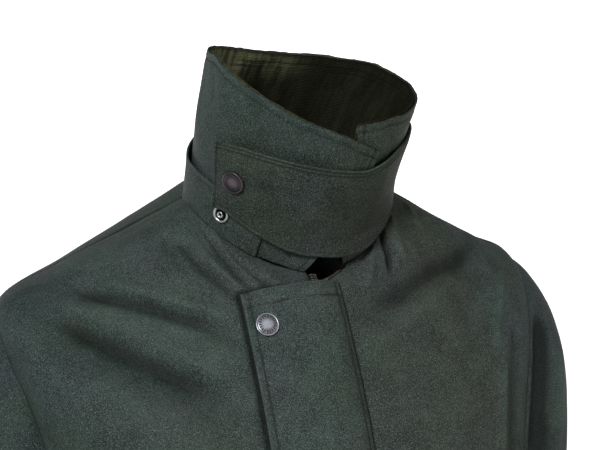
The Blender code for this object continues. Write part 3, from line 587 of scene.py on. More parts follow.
def cloth(name, grid, lift, rub, thick, material, joined=(), thin=1.0):
    """One closed wall of cloth under a grid's face, raised by lift; a colour mask goes with it, of worn
    wax, painted shade and painted highlight.
    """
    share = rolled(grid, thick, joined) * thin
    outer = grid.points + grid.normals * (lift - thick * (1.0 - share) / 2.0)[..., None]
    inner = grid.points + grid.normals * (lift - thick * (1.0 + share) / 2.0)[..., None]
    rows, columns = grid.u.shape
    faces = wall_faces(rows, columns)
    middle = faces[(rows - 1) * (columns - 1) // 2]
    corner = outer.reshape(-1, 3)[middle]
    turned = np.cross(corner[1] - corner[0], corner[3] - corner[0])
    if float(turned @ grid.normals.reshape(-1, 3)[middle[0]]) < 0:
        faces = faces[:, ::-1]
    mesh = bpy.data.meshes.new(name)
    mesh.from_pydata(np.concatenate((outer.reshape(-1, 3), inner.reshape(-1, 3))), [], faces.tolist())
    places = np.tile(stack(grid.u, -grid.v).reshape(-1, 2), (2, 1))
    mesh.uv_layers.new(name="cloth").uv.foreach_set("vector", places[faces].reshape(-1))
    # the colour mask: worn wax, painted shade and painted highlight
    wear_and_painted_light_mask = mesh.attributes.new("rub", "FLOAT", "POINT")
    wear_and_painted_light_mask.data.foreach_set("value", np.tile(np.clip(rub, -1.0, 1.0).reshape(-1), 2))
    mesh.shade_smooth()
    mesh.validate()
    return dressed(name, mesh, material), grid


STITCH_LINES = []


def stitch_path(grid, lift, away, distance, axis):
    """A line of stitches at this distance from an edge, read between the grid's points."""
    face = grid.points + grid.normals * (lift + 0.00012)[..., None]
    both = np.concatenate((face, grid.normals), axis=-1)
    if axis == 0:
        both, away = np.swapaxes(both, 0, 1), away.T
    line = []
    for rows, distances in zip(both, away):
        order = np.argsort(distances)
        if distances[order[0]] <= distance <= distances[order[-1]]:
            line.append(read_at(distance, distances[order], rows[order]))
    if len(line) > 2:
        line = np.array(line)
        STITCH_LINES.append((line[:, :3], line[:, 3:]))


def sew(grid, lift, **rows):
    """Rows of stitches along a piece's edges, at these distances."""
    for edge, distances in rows.items():
        for distance in np.atleast_1d(distances):
            stitch_path(grid, lift, getattr(grid, edge), distance, 0 if edge in ("top", "bottom") else 1)


def groove(away, distance, width=0.0009, depth=0.0004):
    """The line that a row of stitches pulls into the cloth."""
    return -depth * bell(away - distance, width)


def hem_relief(away, stitch, rise, grain, seed, along):
    """A turned hem: thicker up to its stitches, with the small puckers that they draw."""
    thicker = rise * (1.0 - smooth((away - stitch) / 0.0025))
    puckers = grain * mottle(along, away * 0.6, 0.0085, seed) * np.exp(-np.abs(away - stitch) / 0.007)
    return thicker + groove(away, stitch) + puckers


# ---------------------------------------------------------------- finishes
def add_node(tree, kind, settings, inputs):
    """A node with its settings; its inputs are values, sockets or wires."""
    made = tree.nodes.new(kind)
    for key, value in settings.items():
        setattr(made, key, value)
    for key, value in inputs.items():
        value = getattr(value, "socket", value)
        if isinstance(value, bpy.types.NodeSocket):
            tree.links.new(value, made.inputs[key])
        else:
            made.inputs[key].default_value = value
    return made


class Wire:
    """A shader value that can take part in sums."""

    def __init__(self, finish, socket):
        self.finish, self.socket = finish, socket

    def sum(self, operation, *values):
        return self.finish.node("ShaderNodeMath", {"operation": operation}, dict(enumerate(values)))

    def __add__(self, other):
        return self.sum("ADD", self, other)

    def __mul__(self, other):
        return self.sum("MULTIPLY", self, other)

    __radd__, __rmul__ = __add__, __mul__

    def sine(self):
        return self.sum("SINE", self)

    def wave(self, pitch):
        """A wave that comes back every pitch metres."""
        return (self * (2.0 * math.pi / pitch)).sine()

    def between(self, low, high, out_low=0.0, out_high=1.0):
        """Stretches low..high to out_low..out_high, and holds it there."""
        return self.finish.node("ShaderNodeMapRange", {"interpolation_type": "SMOOTHSTEP"},
                                {"Value": self, "From Min": low, "From Max": high,
                                 "To Min": out_low, "To Max": out_high})


class Finish:
    """A material with one Principled shader."""

    def __init__(self, name, **constants):
        self.material = bpy.data.materials.new(name)
        self.material.use_nodes = True
        self.tree = self.material.node_tree
        self.shader = self.tree.nodes["Principled BSDF"]
        for key, value in constants.items():
            self.socket(key).default_value = value

    def socket(self, key):
        """A socket of the shader, by its name in small letters."""
        return self.shader.inputs[key.replace("_", " ").title().replace("Ior", "IOR")]

    def node(self, kind, settings, inputs, output=0):
        return Wire(self, add_node(self.tree, kind, settings, inputs).outputs[output])

    def noise(self, vector, scale, detail, roughness=0.5):
        return self.node("ShaderNodeTexNoise", {}, {"Vector": vector, "Scale": scale, "Detail": detail,
                                                    "Roughness": roughness})

    def object_place(self):
        return self.node("ShaderNodeTexCoord", {}, {}, "Object")

    def cloth_place(self):
        """U and V of the piece's own map, in metres."""
        place = self.node("ShaderNodeUVMap", {"uv_map": "cloth"}, {})
        split = self.node("ShaderNodeSeparateXYZ", {}, {"Vector": place}, "X")
        return split, Wire(self, split.socket.node.outputs["Y"])

    def wear_and_painted_light_mask(self):
        # the colour mask of worn wax, painted shade and painted highlight
        return self.node("ShaderNodeAttribute", {"attribute_name": "rub"}, {}, "Fac")

    def blend(self, share, first, second):
        return self.node("ShaderNodeMix", {"data_type": "RGBA"},
                         {0: share, 6: first, 7: second}, 2)

    def feed(self, **wires):
        for key, wire in wires.items():
            self.tree.links.new(wire.socket, self.socket(key))

    def bump(self, height, distance, strength):
        self.feed(Normal=self.node("ShaderNodeBump", {}, {"Strength": strength, "Distance": distance,
                                                          "Height": height}))


def rgb(red, green, blue):
    """A colour from sRGB 0 to 255."""
    def linear(value):
        value = value / 255.0
        return value / 12.92 if value <= 0.04045 else ((value + 0.055) / 1.055) ** 2.4
    return (linear(red), linear(green), linear(blue), 1.0)


THREAD_PITCH = 0.00062
WALE_PITCH = 0.0013
RIB_PITCH = 0.0011


def waxed_cotton(name, deep, pale, warm):
    """Waxed cloth: a fine plain weave under uneven wax, paler where it is creased or rubbed, partly worn
    wax and partly a painted highlight, and darker with painted shade in valleys and toward the wearer's
    right.
    """
    finish = Finish(name, specular_ior_level=0.16)
    place = finish.object_place()
    u, v = finish.cloth_place()
    rub = finish.wear_and_painted_light_mask()
    across = finish.node("ShaderNodeSeparateXYZ", {}, {"Vector": place}, "X")
    patch = finish.noise(place, 7.0, 3.0)
    olive = finish.noise(place, 12.0, 3.0)
    cloud = finish.noise(place, 60.0, 4.0, 0.6)
    grain = finish.noise(place, 2000.0, 1.0, 0.6)
    lint = finish.noise(place, 1100.0, 0.0)
    warmth = (across.between(-0.04, 0.10) * across.between(0.10, 0.15, 1.0, 0.0) * 0.70
              + patch.between(0.42, 0.60) * 0.25)
    light = finish.blend(warmth, pale, warm)
    # painted shade: the cloth toward the wearer's right, below x = -0.08, is darker and bluer
    light = finish.blend(across.between(-0.08, -0.22) * 0.45, light, rgb(74, 90, 94))
    light = finish.blend(olive.between(0.50, 0.66) * 0.35, light, rgb(90, 112, 84))
    light = finish.blend(olive.between(0.48, 0.36) * 0.35, light, rgb(104, 106, 116))
    color = finish.blend(grain.between(0.42, 0.72) * 0.85 + cloud.between(0.28, 0.74) * 0.15, deep, light)
    # paler: worn wax with a painted highlight on ridges and edges
    color = finish.blend(rub.between(0.0, 1.0) * 0.45, color, rgb(96, 112, 101))
    color = finish.blend(lint.between(0.66, 0.80) * 0.60, color, rgb(112, 120, 112))
    # near black: painted shade in valleys, in crevices and along seams
    color = finish.blend((rub * -1.0).between(0.0, 1.0) * 0.80, color, rgb(11, 14, 13))
    threads = u.wave(THREAD_PITCH) * v.wave(THREAD_PITCH)
    finish.feed(base_color=color, roughness=cloud.between(0.25, 0.75, 0.60, 0.74))
    finish.bump(threads * 0.06 + grain * 0.6 + cloud * 0.5, 0.0005, 0.6)
    return finish.material


def corduroy(name):
    """Fine wales that run round the neck, their valleys darker with painted shade over the ground weave's
    own tone, and a paler nap where painted light falls.
    """
    finish = Finish(name, specular_ior_level=0.05)
    place = finish.object_place()
    u, v = finish.cloth_place()
    drift = finish.noise(place, 60.0, 3.0)
    hung = finish.node("ShaderNodeCombineXYZ", {}, {"X": u, "Y": v * 0.22})
    nap = finish.noise(hung, 190.0, 3.0, 0.6)
    tuft = finish.noise(place, 900.0, 2.0, 0.8)
    wave = (v * (2.0 * math.pi / WALE_PITCH) + drift * 4.0).sine()
    wale = wave.between(-0.9, 0.7)
    # the wales' valleys darker: the ground weave's own tone with painted shade
    color = finish.blend(wale * 0.45 + tuft.between(0.3, 0.7) * 0.45, rgb(7, 7, 6), rgb(40, 39, 29))
    # painted light: the nap paler where the lining's mask paints light falling
    painted_lit_nap = finish.wear_and_painted_light_mask() * (nap.between(0.34, 0.66) * 0.60 + tuft.between(0.30, 0.65) * 0.30 + wale * 0.15)
    color = finish.blend(painted_lit_nap, color, rgb(136, 140, 108))
    finish.feed(base_color=color, roughness=nap.between(0.3, 0.7, 0.85, 0.97))
    finish.bump(wale * 0.8 + tuft * 0.7 + nap * 1.5, 0.0005, 0.9)
    return finish.material


def woven_tape(name):
    """A zip's tape: fine herringbone across its width."""
    finish = Finish(name, specular_ior_level=0.2)
    u, v = finish.cloth_place()
    place = finish.object_place()
    rib = (u + v).wave(RIB_PITCH) * 0.5 + 0.5
    fuzz = finish.noise(place, 1200.0, 2.0)
    color = finish.blend(rib * 0.6 + fuzz * 0.4, rgb(17, 20, 17), rgb(44, 50, 44))
    finish.feed(base_color=color, roughness=fuzz.between(0.2, 0.8, 0.78, 0.92))
    finish.bump(rib * 0.7 + fuzz * 0.3, 0.0002, 0.7)
    return finish.material


def thread(name):
    """Twisted polyester thread, a little darker than the cloth."""
    finish = Finish(name, specular_ior_level=0.3)
    place = finish.object_place()
    twist = finish.noise(place, 2600.0, 1.0)
    color = finish.blend(twist.between(0.3, 0.7), rgb(17, 20, 18), rgb(44, 50, 46))
    finish.feed(base_color=color, roughness=twist.between(0.2, 0.8, 0.5, 0.7))
    return finish.material


def stud_metal(name, dark, light, roughness=(0.28, 0.42), metallic=1.0):
    """Nickelled press-stud metal: painted shade and reflection in its grooves and hollows, a painted
    highlight on its crowns and rims.
    """
    finish = Finish(name, metallic=metallic)
    place = finish.object_place()
    film = finish.noise(place, 700.0, 3.0, 0.6)
    scratch = finish.noise(place, 2600.0, 2.0)
    color = finish.blend(finish.wear_and_painted_light_mask() * 0.5 + 0.35 + film.between(0.2, 0.8) * 0.25, dark, light)
    finish.feed(base_color=color, roughness=film.between(0.3, 0.7, roughness[0], roughness[1]))
    finish.bump(scratch, 0.00003, 0.4)
    return finish.material


# ---------------------------------------------------------------- relief
def undulation(u, v, seed, depth=0.0011):
    """The slow hills of cloth that has hung on a body, with smaller and smaller ones on them."""
    return (depth * mottle(u, v, 0.090, seed) + 0.30 * depth * mottle(u, v, 0.035, seed + 1.0)
            + 0.10 * depth * mottle(u, v, 0.012, seed + 2.0))


def crumple(u, v, size, seed, lean, depth):
    """Scattered, curved crease lines that mostly run one way."""
    along = u * math.cos(lean) + v * math.sin(lean)
    across = v * math.cos(lean) - u * math.sin(lean)
    level = mottle(along * 0.45, across, size, seed)
    strength = smooth(0.5 + 0.9 * mottle(u, v, size * 2.2, seed + 3.0))
    return -depth * strength * bell(level, 0.13)


def seam_dip(away, depth):
    return -depth * bell(away, 0.0035)


def puckers(along, away, size, depth, reach, seed):
    """Short gathers square to a seam that die away from it."""
    return depth * mottle(along, away * 0.30, size, seed) * np.exp(-away / reach)


def wax_wear_and_painted_light(lift, *edges, seams=()):
    """Worn wax and a painted highlight on ridges and edges, above 0; painted shade in valleys, and dark
    seams that are partly painted shade where pieces meet, below 0.
    """
    # lift sets the colour: ridges paler with a painted highlight, valleys darker with painted shade
    rub = np.clip(lift / 0.0060, -0.85, 0.30)
    for away in edges:
        rub += 0.35 * bell(away, 0.0011)
    for away, distance in seams:
        rub -= 0.75 * bell(away - distance, 0.0009)
    return rub


# ---------------------------------------------------------------- cloth pieces
def piece_grid(place, rows, columns, normal=None, outward=None):
    r, c = np.meshgrid(rows, columns, indexing="ij")
    points = place(r, c)
    return Grid(points, normal(r, c) if normal else grid_normals(points, outward(r, c)))


def front_turn(ring, c, side, stations):
    """From c = 0 at the zip edge to c = 12 at the side seam and armhole."""
    spread = zip_spread(ring)
    near = turn_at(zip_x(ring) + side * (np.interp(c, range(4), stations) + spread), ring)
    edge = turn_at(zip_x(ring) + side * (stations[-1] + spread), ring)
    end = side * (SIDE_TURN[side] - armhole_turn(ring))
    return np.where(c <= 3.0, near, edge + (end - edge) * (c - 3.0) / 9.0)


def flap_outline(side):
    """The (x, z) places under the storm flap's edges, from the hem up and over its top."""
    places = [(t, 0.0 if side > 0 else 5.0) for t in (0.95, 0.70, 0.45, 0.25, 0.12, 0.05, 0.02, 0.0)]
    if side < 0:
        places += [(0.0, c) for c in (4.7, 4.0, 3.0, 2.0, 1.0)]
    points = [body(flap_turn(t, c), flap_ring(t, c)) for t, c in places]
    return [(float(p[0]), float(p[2])) for p in points]


def make_front(name, side, stations, material):
    def place(r, c):
        return body(front_turn(r, c, side, stations), r)

    rows = in_two_steps(place, 5.0, 0.0, CHEST_RING, HEM_RING, 0.0019, 0.0050)
    grid = piece_grid(place, rows, along_row(place, 6.0, 0.0, 12.0, 0.0026),
                      lambda r, c: body_normal(front_turn(r, c, side, stations), r))
    seed, covered, tuck_width, tuck_depth = FRONT_SIDES[side]
    under_flap = smooth((grid.left - covered) / 0.03)
    low = smooth((-0.20 - grid.z) / 0.10)
    lift = undulation(grid.x, grid.z, seed) * under_flap
    lift += crumple(grid.x, grid.z, 0.050, seed + 5.0, side * 0.45, 0.0011) * under_flap * low
    for half_width, depth, *line in FRONT_CREASES:
        if line[0][0] * side > 0:
            lift += crease(grid.x, grid.z, line, half_width, depth, taper=0.45)
    lift = lift * smooth(grid.right / 0.010)
    tuck = crease(grid.x, grid.z, flap_outline(side), tuck_width, 1.0, 0.02)
    lift -= tuck_depth * tuck
    lift += seam_dip(grid.top, 0.0003) + seam_dip(grid.right, 0.0004)
    lift += puckers(grid.u, grid.top, 0.010, 0.0006, 0.014, seed + 7.0) * smooth(grid.top / 0.003)
    lift += puckers(grid.v, grid.right, 0.012, 0.0005, 0.012, seed + 8.0)
    sewn = grid.right + (grid.z[:, -1:] > SHOULDER_FOOT)
    lift += groove(sewn, SIDE_STITCH) + hem_relief(grid.bottom, HEM_STITCH, 0.0005, 0.0006, seed, grid.u)
    # the tuck also darkens the colour: painted shade in the crevice along the storm flap's edge
    rub = wax_wear_and_painted_light(lift, seams=((sewn, SIDE_STITCH), (grid.top, 0.0))) - 0.9 * tuck
    stitch_path(grid, lift, sewn, SIDE_STITCH, 1)
    sew(grid, lift, bottom=HEM_STITCH)
    return cloth(name, grid, lift, rub, CLOTH, material, ("top", "right"))


def back_turn(ring, c):
    start = SIDE_TURN[1] + armhole_turn(ring)
    return start + (360.0 - SIDE_TURN[-1] - armhole_turn(ring) - start) * c


def make_back(material):
    def place(r, c):
        return body(back_turn(r, c), r)

    rows = in_two_steps(place, 0.3, 0.0, CHEST_RING, HEM_RING, 0.0045, 0.0070)
    grid = piece_grid(place, rows, along_row(place, 7.0, 0.0, 1.0, 0.0060),
                      lambda r, c: body_normal(back_turn(r, c), r))
    lift = undulation(grid.x, grid.z, 23.0, 0.0013)
    lift += crumple(grid.x, grid.z, 0.055, 27.0, 0.35, 0.0012) * smooth((-0.02 - grid.z) / 0.1)
    lift += seam_dip(grid.top, 0.0003) + seam_dip(grid.left, 0.0004) + seam_dip(grid.right, 0.0004)
    for away in (grid.left, grid.right):
        lift += groove(away, SIDE_STITCH) + puckers(grid.v, away, 0.012, 0.0005, 0.012, 29.0)
    lift += hem_relief(grid.bottom, HEM_STITCH, 0.0005, 0.0006, 31.0, grid.u)
    rub = wax_wear_and_painted_light(lift, seams=((grid.left, SIDE_STITCH), (grid.right, SIDE_STITCH)))
    sew(grid, lift, left=SIDE_STITCH, right=SIDE_STITCH, bottom=HEM_STITCH)
    return cloth("back", grid, lift, rub, CLOTH, material, ("top", "left", "right"))


def sleeve_place(around, s, side):
    """From s = 0 at the armhole through 1 at the first ring to the cuff."""
    around, s = np.broadcast_arrays(around, s)
    cap = sleeve_cap(around, np.minimum(s, 1.0), side)
    tube = sleeve_tube(around, np.maximum(s - 1.0, 0.0), side)
    return np.where((s < 1.0)[..., None], cap, tube)


def sleeve_grid(side, first, last):
    """The grid between two ways round, and each of its columns' way round."""
    def place(s, around):
        return sleeve_place(around, s, side)

    rows = in_two_steps(place, (first + last) / 2.0, 0.0, 1.0, 1.0 + SLEEVE_LEVELS, 0.0042, 0.0056, GAP)
    columns = along_row(place, 2.0, first, last, 0.0042)
    points = place(rows[:, None], columns)
    angle = np.radians(columns)
    outward = stack(side * np.cos(angle), -np.sin(angle), 0.0)
    normals = grid_normals(points, outward)
    turn, ring = armhole_place(columns, side)
    over = smooth((np.cos(angle) + 0.3) / 0.7)[:, None]
    normals[0] = unit(body_normal(side * turn, ring) * over + normals[0] * (1.0 - over))
    points[0] += (0.0016 - 0.0011 * over) * unit(points[0] - points[1])
    return Grid(points, normals), columns


def make_sleeve(name, side, material):
    front_cut, back_cut = SLEEVE_CUTS
    pieces = []
    for part, first, last in (("top", back_cut - 360.0, front_cut), ("under", front_cut, back_cut)):
        grid, columns = sleeve_grid(side, first, last)
        seed = 41.0 + side * 4.0
        way = np.broadcast_to(columns * SLEEVE_WAY, grid.u.shape)
        lift = undulation(way, grid.z, seed, 0.0010)
        lift += crumple(way, grid.z, 0.045, seed + 3.0, 0.5 * side, 0.0010)
        for (a0, z0), (a1, z1), half_width, depth in SLEEVE_CREASES:
            for shift in (0.0, -360.0):
                line = [((a + shift) * SLEEVE_WAY, z) for a, z in
                        ((a0, z0), ((a0 + a1) / 2.0, (z0 + z1) / 2.0 - SLEEVE_BOW), (a1, z1))]
                lift += crease(way, grid.z, line, half_width, depth, 0.35)
        # painted shade in the first front crease and a painted highlight along the second, on the left
        # sleeve's front
        painted_shade_and_highlight = np.zeros_like(lift)
        if side > 0 and part == "top":
            facing = smooth(-grid.normals[..., 1] / 0.35)
            for half_width, depth, *line in SLEEVE_FRONT_CREASES:
                lift += crease(grid.x, grid.z, line, half_width, depth) * facing
                painted_shade_and_highlight += crease(grid.x, grid.z, line, half_width, depth / 0.015) * facing
        lift = lift * smooth(grid.top / 0.012) + seam_dip(grid.top, 0.0003)
        lift += puckers(grid.u, grid.top, 0.013, 0.0007, 0.014, seed + 5.0)
        lift += seam_dip(grid.left, 0.0004) + seam_dip(grid.right, 0.0004)
        lift += hem_relief(grid.bottom, CUFF_STITCH, 0.0005, 0.0005, seed, grid.u)
        sew(grid, lift, bottom=CUFF_STITCH)
        pieces.append(cloth(name + "_" + part, grid, lift, wax_wear_and_painted_light(lift) + painted_shade_and_highlight, CLOTH, material,
                            ("top", "left", "right")))
    return pieces


def collar_turn(share, s):
    start = COLLAR_LEFT_END[0] + (COLLAR_LEFT_END[1] - COLLAR_LEFT_END[0]) * share
    rounded = 1.0 - (1.0 - share) ** 2
    end = COLLAR_RIGHT_END[0] + (COLLAR_RIGHT_END[1] - COLLAR_RIGHT_END[0]) * rounded
    return start + (end - start) * s


def collar_place(row, s, drop=0.0):
    """From row = 0 at the top edge to 1 at the neck seam; s runs from the left end to the right."""
    share = 1.0 - row
    turn = collar_turn(share, s)
    top = table_curve(COLLAR_EDGE, 1, turn) - drop
    return neck(turn, NECK_LAP + (top - NECK_LAP) * share, COLLAR_OVERLAP * smooth((turn - 330.0) / 30.0))


def collar_grid(drop, seed):
    def place(r, c):
        wave = 0.0006 * mottle(c, 0.0 * c, 0.016, seed + 1.0) + 0.0004 * mottle(c, 0.0 * c, 0.006, seed)
        return collar_place(r, c, drop - wave)

    rows, columns = down_column(place, 0.5, 0.0, 1.0, 0.0018), along_row(place, 0.3, 0.0, 1.0, 0.0019)
    return piece_grid(place, rows, columns, outward=lambda r, c: round_neck(r, collar_turn(1.0 - r, c)))


def make_collar(material):
    grid = collar_grid(0.0, 61.0)
    calm, rim = smooth(grid.top / COLLAR_CALM), np.exp(-grid.top / COLLAR_RIM)
    lift = undulation(grid.u, grid.v, 61.0, 0.0009) * calm
    lift += crumple(grid.u, grid.v, 0.040, 63.0, 1.2, 0.0011) * calm
    lift += 0.0006 * mottle(grid.u, grid.v * 0.3, 0.014, 65.0) * rim
    lift += 0.0010 * mottle(grid.u, grid.v * 0.12, 0.011, 69.0) * smooth((grid.u - 0.30) / 0.03)
    lift += groove(grid.top, COLLAR_STITCH, 0.0012, 0.0006) + groove(grid.left, COLLAR_END_STITCH)
    lift += groove(grid.right, COLLAR_END_STITCH, 0.0012) + 0.0012 * np.exp(-grid.right / 0.008)
    lift += seam_dip(grid.bottom, 0.0003) + puckers(grid.u, grid.bottom, 0.011, 0.0006, 0.012, 67.0)
    high = smooth((collar_turn(1.0 - grid.v / grid.v[-1:], grid.u / grid.last_u) - 270.0) / 20.0)
    lift += 1.6 * puckers(grid.u, grid.top, 0.008, 0.0007, 0.016, 68.0) * high
    rub = 0.7 * wax_wear_and_painted_light(lift, grid.right, seams=((grid.top, COLLAR_STITCH), (grid.left, COLLAR_END_STITCH),
                                              (grid.right, COLLAR_END_STITCH), (grid.top, 0.0)))
    # a paler line along the rolled rim: worn wax with a painted highlight
    rub += 0.35 * bell(grid.top - 0.0022, 0.0010)
    sew(grid, lift, top=COLLAR_STITCH, left=COLLAR_END_STITCH, right=COLLAR_END_STITCH)
    return cloth("collar", grid, lift, rub, CLOTH, material, thin=1.0 - 0.30 * rim)


def make_lining(material):
    """Corduroy inside the collar; its colour mask is painted light: lit toward the wearer's right near the
    top, highlighted on raised places, in painted shade at the rim and the stitch rows.
    """
    grid = collar_grid(0.0004, 71.0)
    calm, rim = smooth(grid.top / COLLAR_CALM), np.exp(-grid.top / COLLAR_RIM)
    lift = undulation(grid.u, grid.v, 61.0, 0.0009) * calm * 0.6 - CLOTH - GAP - 0.0004 * rim
    lift -= 0.0018 * smooth(0.5 + mottle(grid.u, grid.v * 0.10, 0.011, 73.0)) * calm
    upper, lower = LINING_ROWS
    lift -= groove(grid.top, upper, 0.0012, 0.0009) + groove(grid.top, lower, 0.0010, 0.0006)
    # painted light: brighter toward the wearer's right and near the top edge, where light falls in
    painted_lining_light = 0.75 * smooth((0.045 - grid.x) / 0.060) * bell(grid.top, 0.017)
    painted_lining_light += smooth((-0.010 - grid.x) / 0.030) * np.exp(-grid.top / 0.050)
    # painted highlight on raised places
    painted_lining_light = np.maximum(painted_lining_light, 0.05) * (1.0 + 420.0 * (lift - lift.mean()))
    # painted shade at the rim and along the stitch rows
    painted_lining_light *= 1.0 - 0.9 * bell(grid.top, 0.0026)
    for row in LINING_ROWS:
        painted_lining_light *= 1.0 - 0.8 * bell(grid.top - row, 0.0008)
    return cloth("collar_lining", grid, lift, np.clip(painted_lining_light, 0.0, 1.0), CORD_CLOTH, material)


def band_place(row, turn):
    """The under band with the ring stud: row = 0 at its top edge."""
    share = 1.0 - row
    slanted = turn - 2.3 * row * smooth((turn - BAND_EDGE[-1][0] + 10.0) / 10.0)
    top = table_curve(BAND_EDGE, 1, turn)
    return neck(slanted, NECK_LAP + (top - NECK_LAP) * share,
                BAND_FOOT + table_curve(BAND_EDGE, 2, turn) * share)


def strap_place(row, turn):
    low = table_curve(STRAP_EDGES, 1, turn)
    high = table_curve(STRAP_EDGES, 2, turn)
    slanted = turn + STRAP_SLANT * row * smooth((-35.0 - turn) / 30.0)
    return neck(slanted, high + (low - high) * row, table_curve(STRAP_EDGES, 3, turn))


def make_band(material):
    rows = down_column(band_place, 270.0, 0.0, 1.0, 0.0022)
    columns = along_row(band_place, 0.3, BAND_EDGE[0][0], BAND_EDGE[-1][0], 0.0026)
    grid = piece_grid(band_place, rows, columns, outward=round_neck)
    lift = 0.4 * undulation(grid.u, grid.v, 81.0, 0.0008) + groove(grid.top, BAND_STITCH)
    lift += puckers(grid.u, grid.bottom, 0.010, 0.0004, 0.010, 83.0)
    rub = wax_wear_and_painted_light(lift, grid.top, seams=((grid.top, BAND_STITCH), (grid.right, 0.0), (grid.bottom, 0.0)))
    sew(grid, lift, top=BAND_STITCH)
    return cloth("stud_band", grid, lift, rub, CLOTH, material, ("bottom",))


def make_strap(material):
    rows = down_column(strap_place, 0.0, 0.0, 1.0, 0.0010)
    columns = along_row(strap_place, 0.3, STRAP_EDGES[-1][0], STRAP_EDGES[0][0], 0.0017)
    grid = piece_grid(strap_place, rows, columns, outward=round_neck)
    lift = undulation(grid.u, grid.v, 91.0, 0.0006) * smooth(grid.top / 0.008)
    lift += crumple(grid.u, grid.v, 0.030, 93.0, 0.2, 0.0006)
    for distance in STRAP_STITCHES:
        lift += groove(grid.top, distance, 0.0007, 0.0006)
    lift += groove(grid.left, STRAP_END_STITCH, 0.0008, 0.0005) + groove(grid.bottom, STRAP_END_STITCH)
    seams = [(grid.top, distance) for distance in STRAP_STITCHES] + [(grid.left, STRAP_END_STITCH)]
    rub = wax_wear_and_painted_light(lift, grid.top, grid.left, grid.bottom, seams=seams)
    # a paler line on the raised strip between the two rows of stitches: worn wax with a painted highlight
    rub += 0.80 * bell(grid.top - 0.0030, 0.0008)
    sew(grid, lift, top=STRAP_STITCHES, bottom=STRAP_END_STITCH, left=STRAP_END_STITCH)
    return cloth("throat_strap", grid, lift, rub, STRAP_CLOTH, material)


def flap_gap(gap, ring):
    return np.maximum(gap * (1.0 - 0.6 * smooth((ring - 3.0) / 2.0)), 0.0008)


def flap_ring(t, c):
    top = spline(FLAP_TOP_RING, c)
    return top + (FLAP_HEM_RING - top) * t


def flap_turn(t, c):
    ring = flap_ring(t, c)
    return turn_at(zip_x(ring) + np.interp(c, range(len(FLAP_STATIONS)), FLAP_STATIONS), ring)


def flap_place(t, c):
    ring = flap_ring(t, c)
    return body(flap_turn(t, c), ring, flap_gap(spline(FLAP_OUT, c), ring) + CLOTH)


def make_flap(material):
    rows = in_two_steps(flap_place, 3.0, 0.0, 0.35, 1.0, 0.0026, 0.0050)
    columns = along_row(flap_place, 0.1, 0.0, len(FLAP_STATIONS) - 1.0, 0.0023)
    grid = piece_grid(flap_place, rows, columns,
                      lambda t, c: body_normal(flap_turn(t, c), flap_ring(t, c)))
    calm = smooth(grid.top / 0.01) * smooth(grid.left / 0.01)
    lift = (0.0006 + undulation(grid.x, grid.z, 101.0, 0.0006)) * calm
    lift += crumple(grid.x, grid.z, 0.040, 103.0, 0.3, 0.0004) * calm
    lift += crease(grid.x, grid.z, ((-0.054, -0.070), (-0.037, -0.089), (-0.022, -0.102)), 0.006, -0.0014)
    rows = {"top": FLAP_STITCH, "right": FLAP_EDGE_STITCH, "left": FLAP_SEAM_STITCH}
    seams = [(getattr(grid, edge), distance) for edge, distance in rows.items()]
    lift += sum(groove(*seam) for seam in seams)
    lift += hem_relief(grid.bottom, HEM_STITCH, 0.0004, 0.0004, 105.0, grid.u)
    rub = wax_wear_and_painted_light(lift, grid.top, grid.right, seams=seams)
    rub += 0.12 * (1.0 - smooth((grid.top - 0.010) / 0.003))
    sew(grid, lift, **rows, bottom=HEM_STITCH)
    return cloth("storm_flap", grid, lift, rub, CLOTH, material)


def tape_turn(ring, c, side):
    spread = zip_spread(ring)
    x = np.interp(c, range(3), (TAPE_EDGES[0], ZIP_EDGE, TAPE_EDGES[1]))
    return turn_at(zip_x(ring) + side * (x + spread), ring)


def make_tape(name, side, material):
    def place(r, c):
        return body(tape_turn(r, c, side), r, -CLOTH - GAP)

    rows = in_two_steps(place, 1.0, 0.08, 3.0, HEM_RING, 0.0022, 0.0070)
    grid = piece_grid(place, rows, along_row(place, 2.0, 0.0, 2.0, 0.0020),
                      lambda r, c: body_normal(tape_turn(r, c, side), r))
    flat = np.zeros_like(grid.u)
    return cloth(name, grid, flat, flat, TAPE, material)


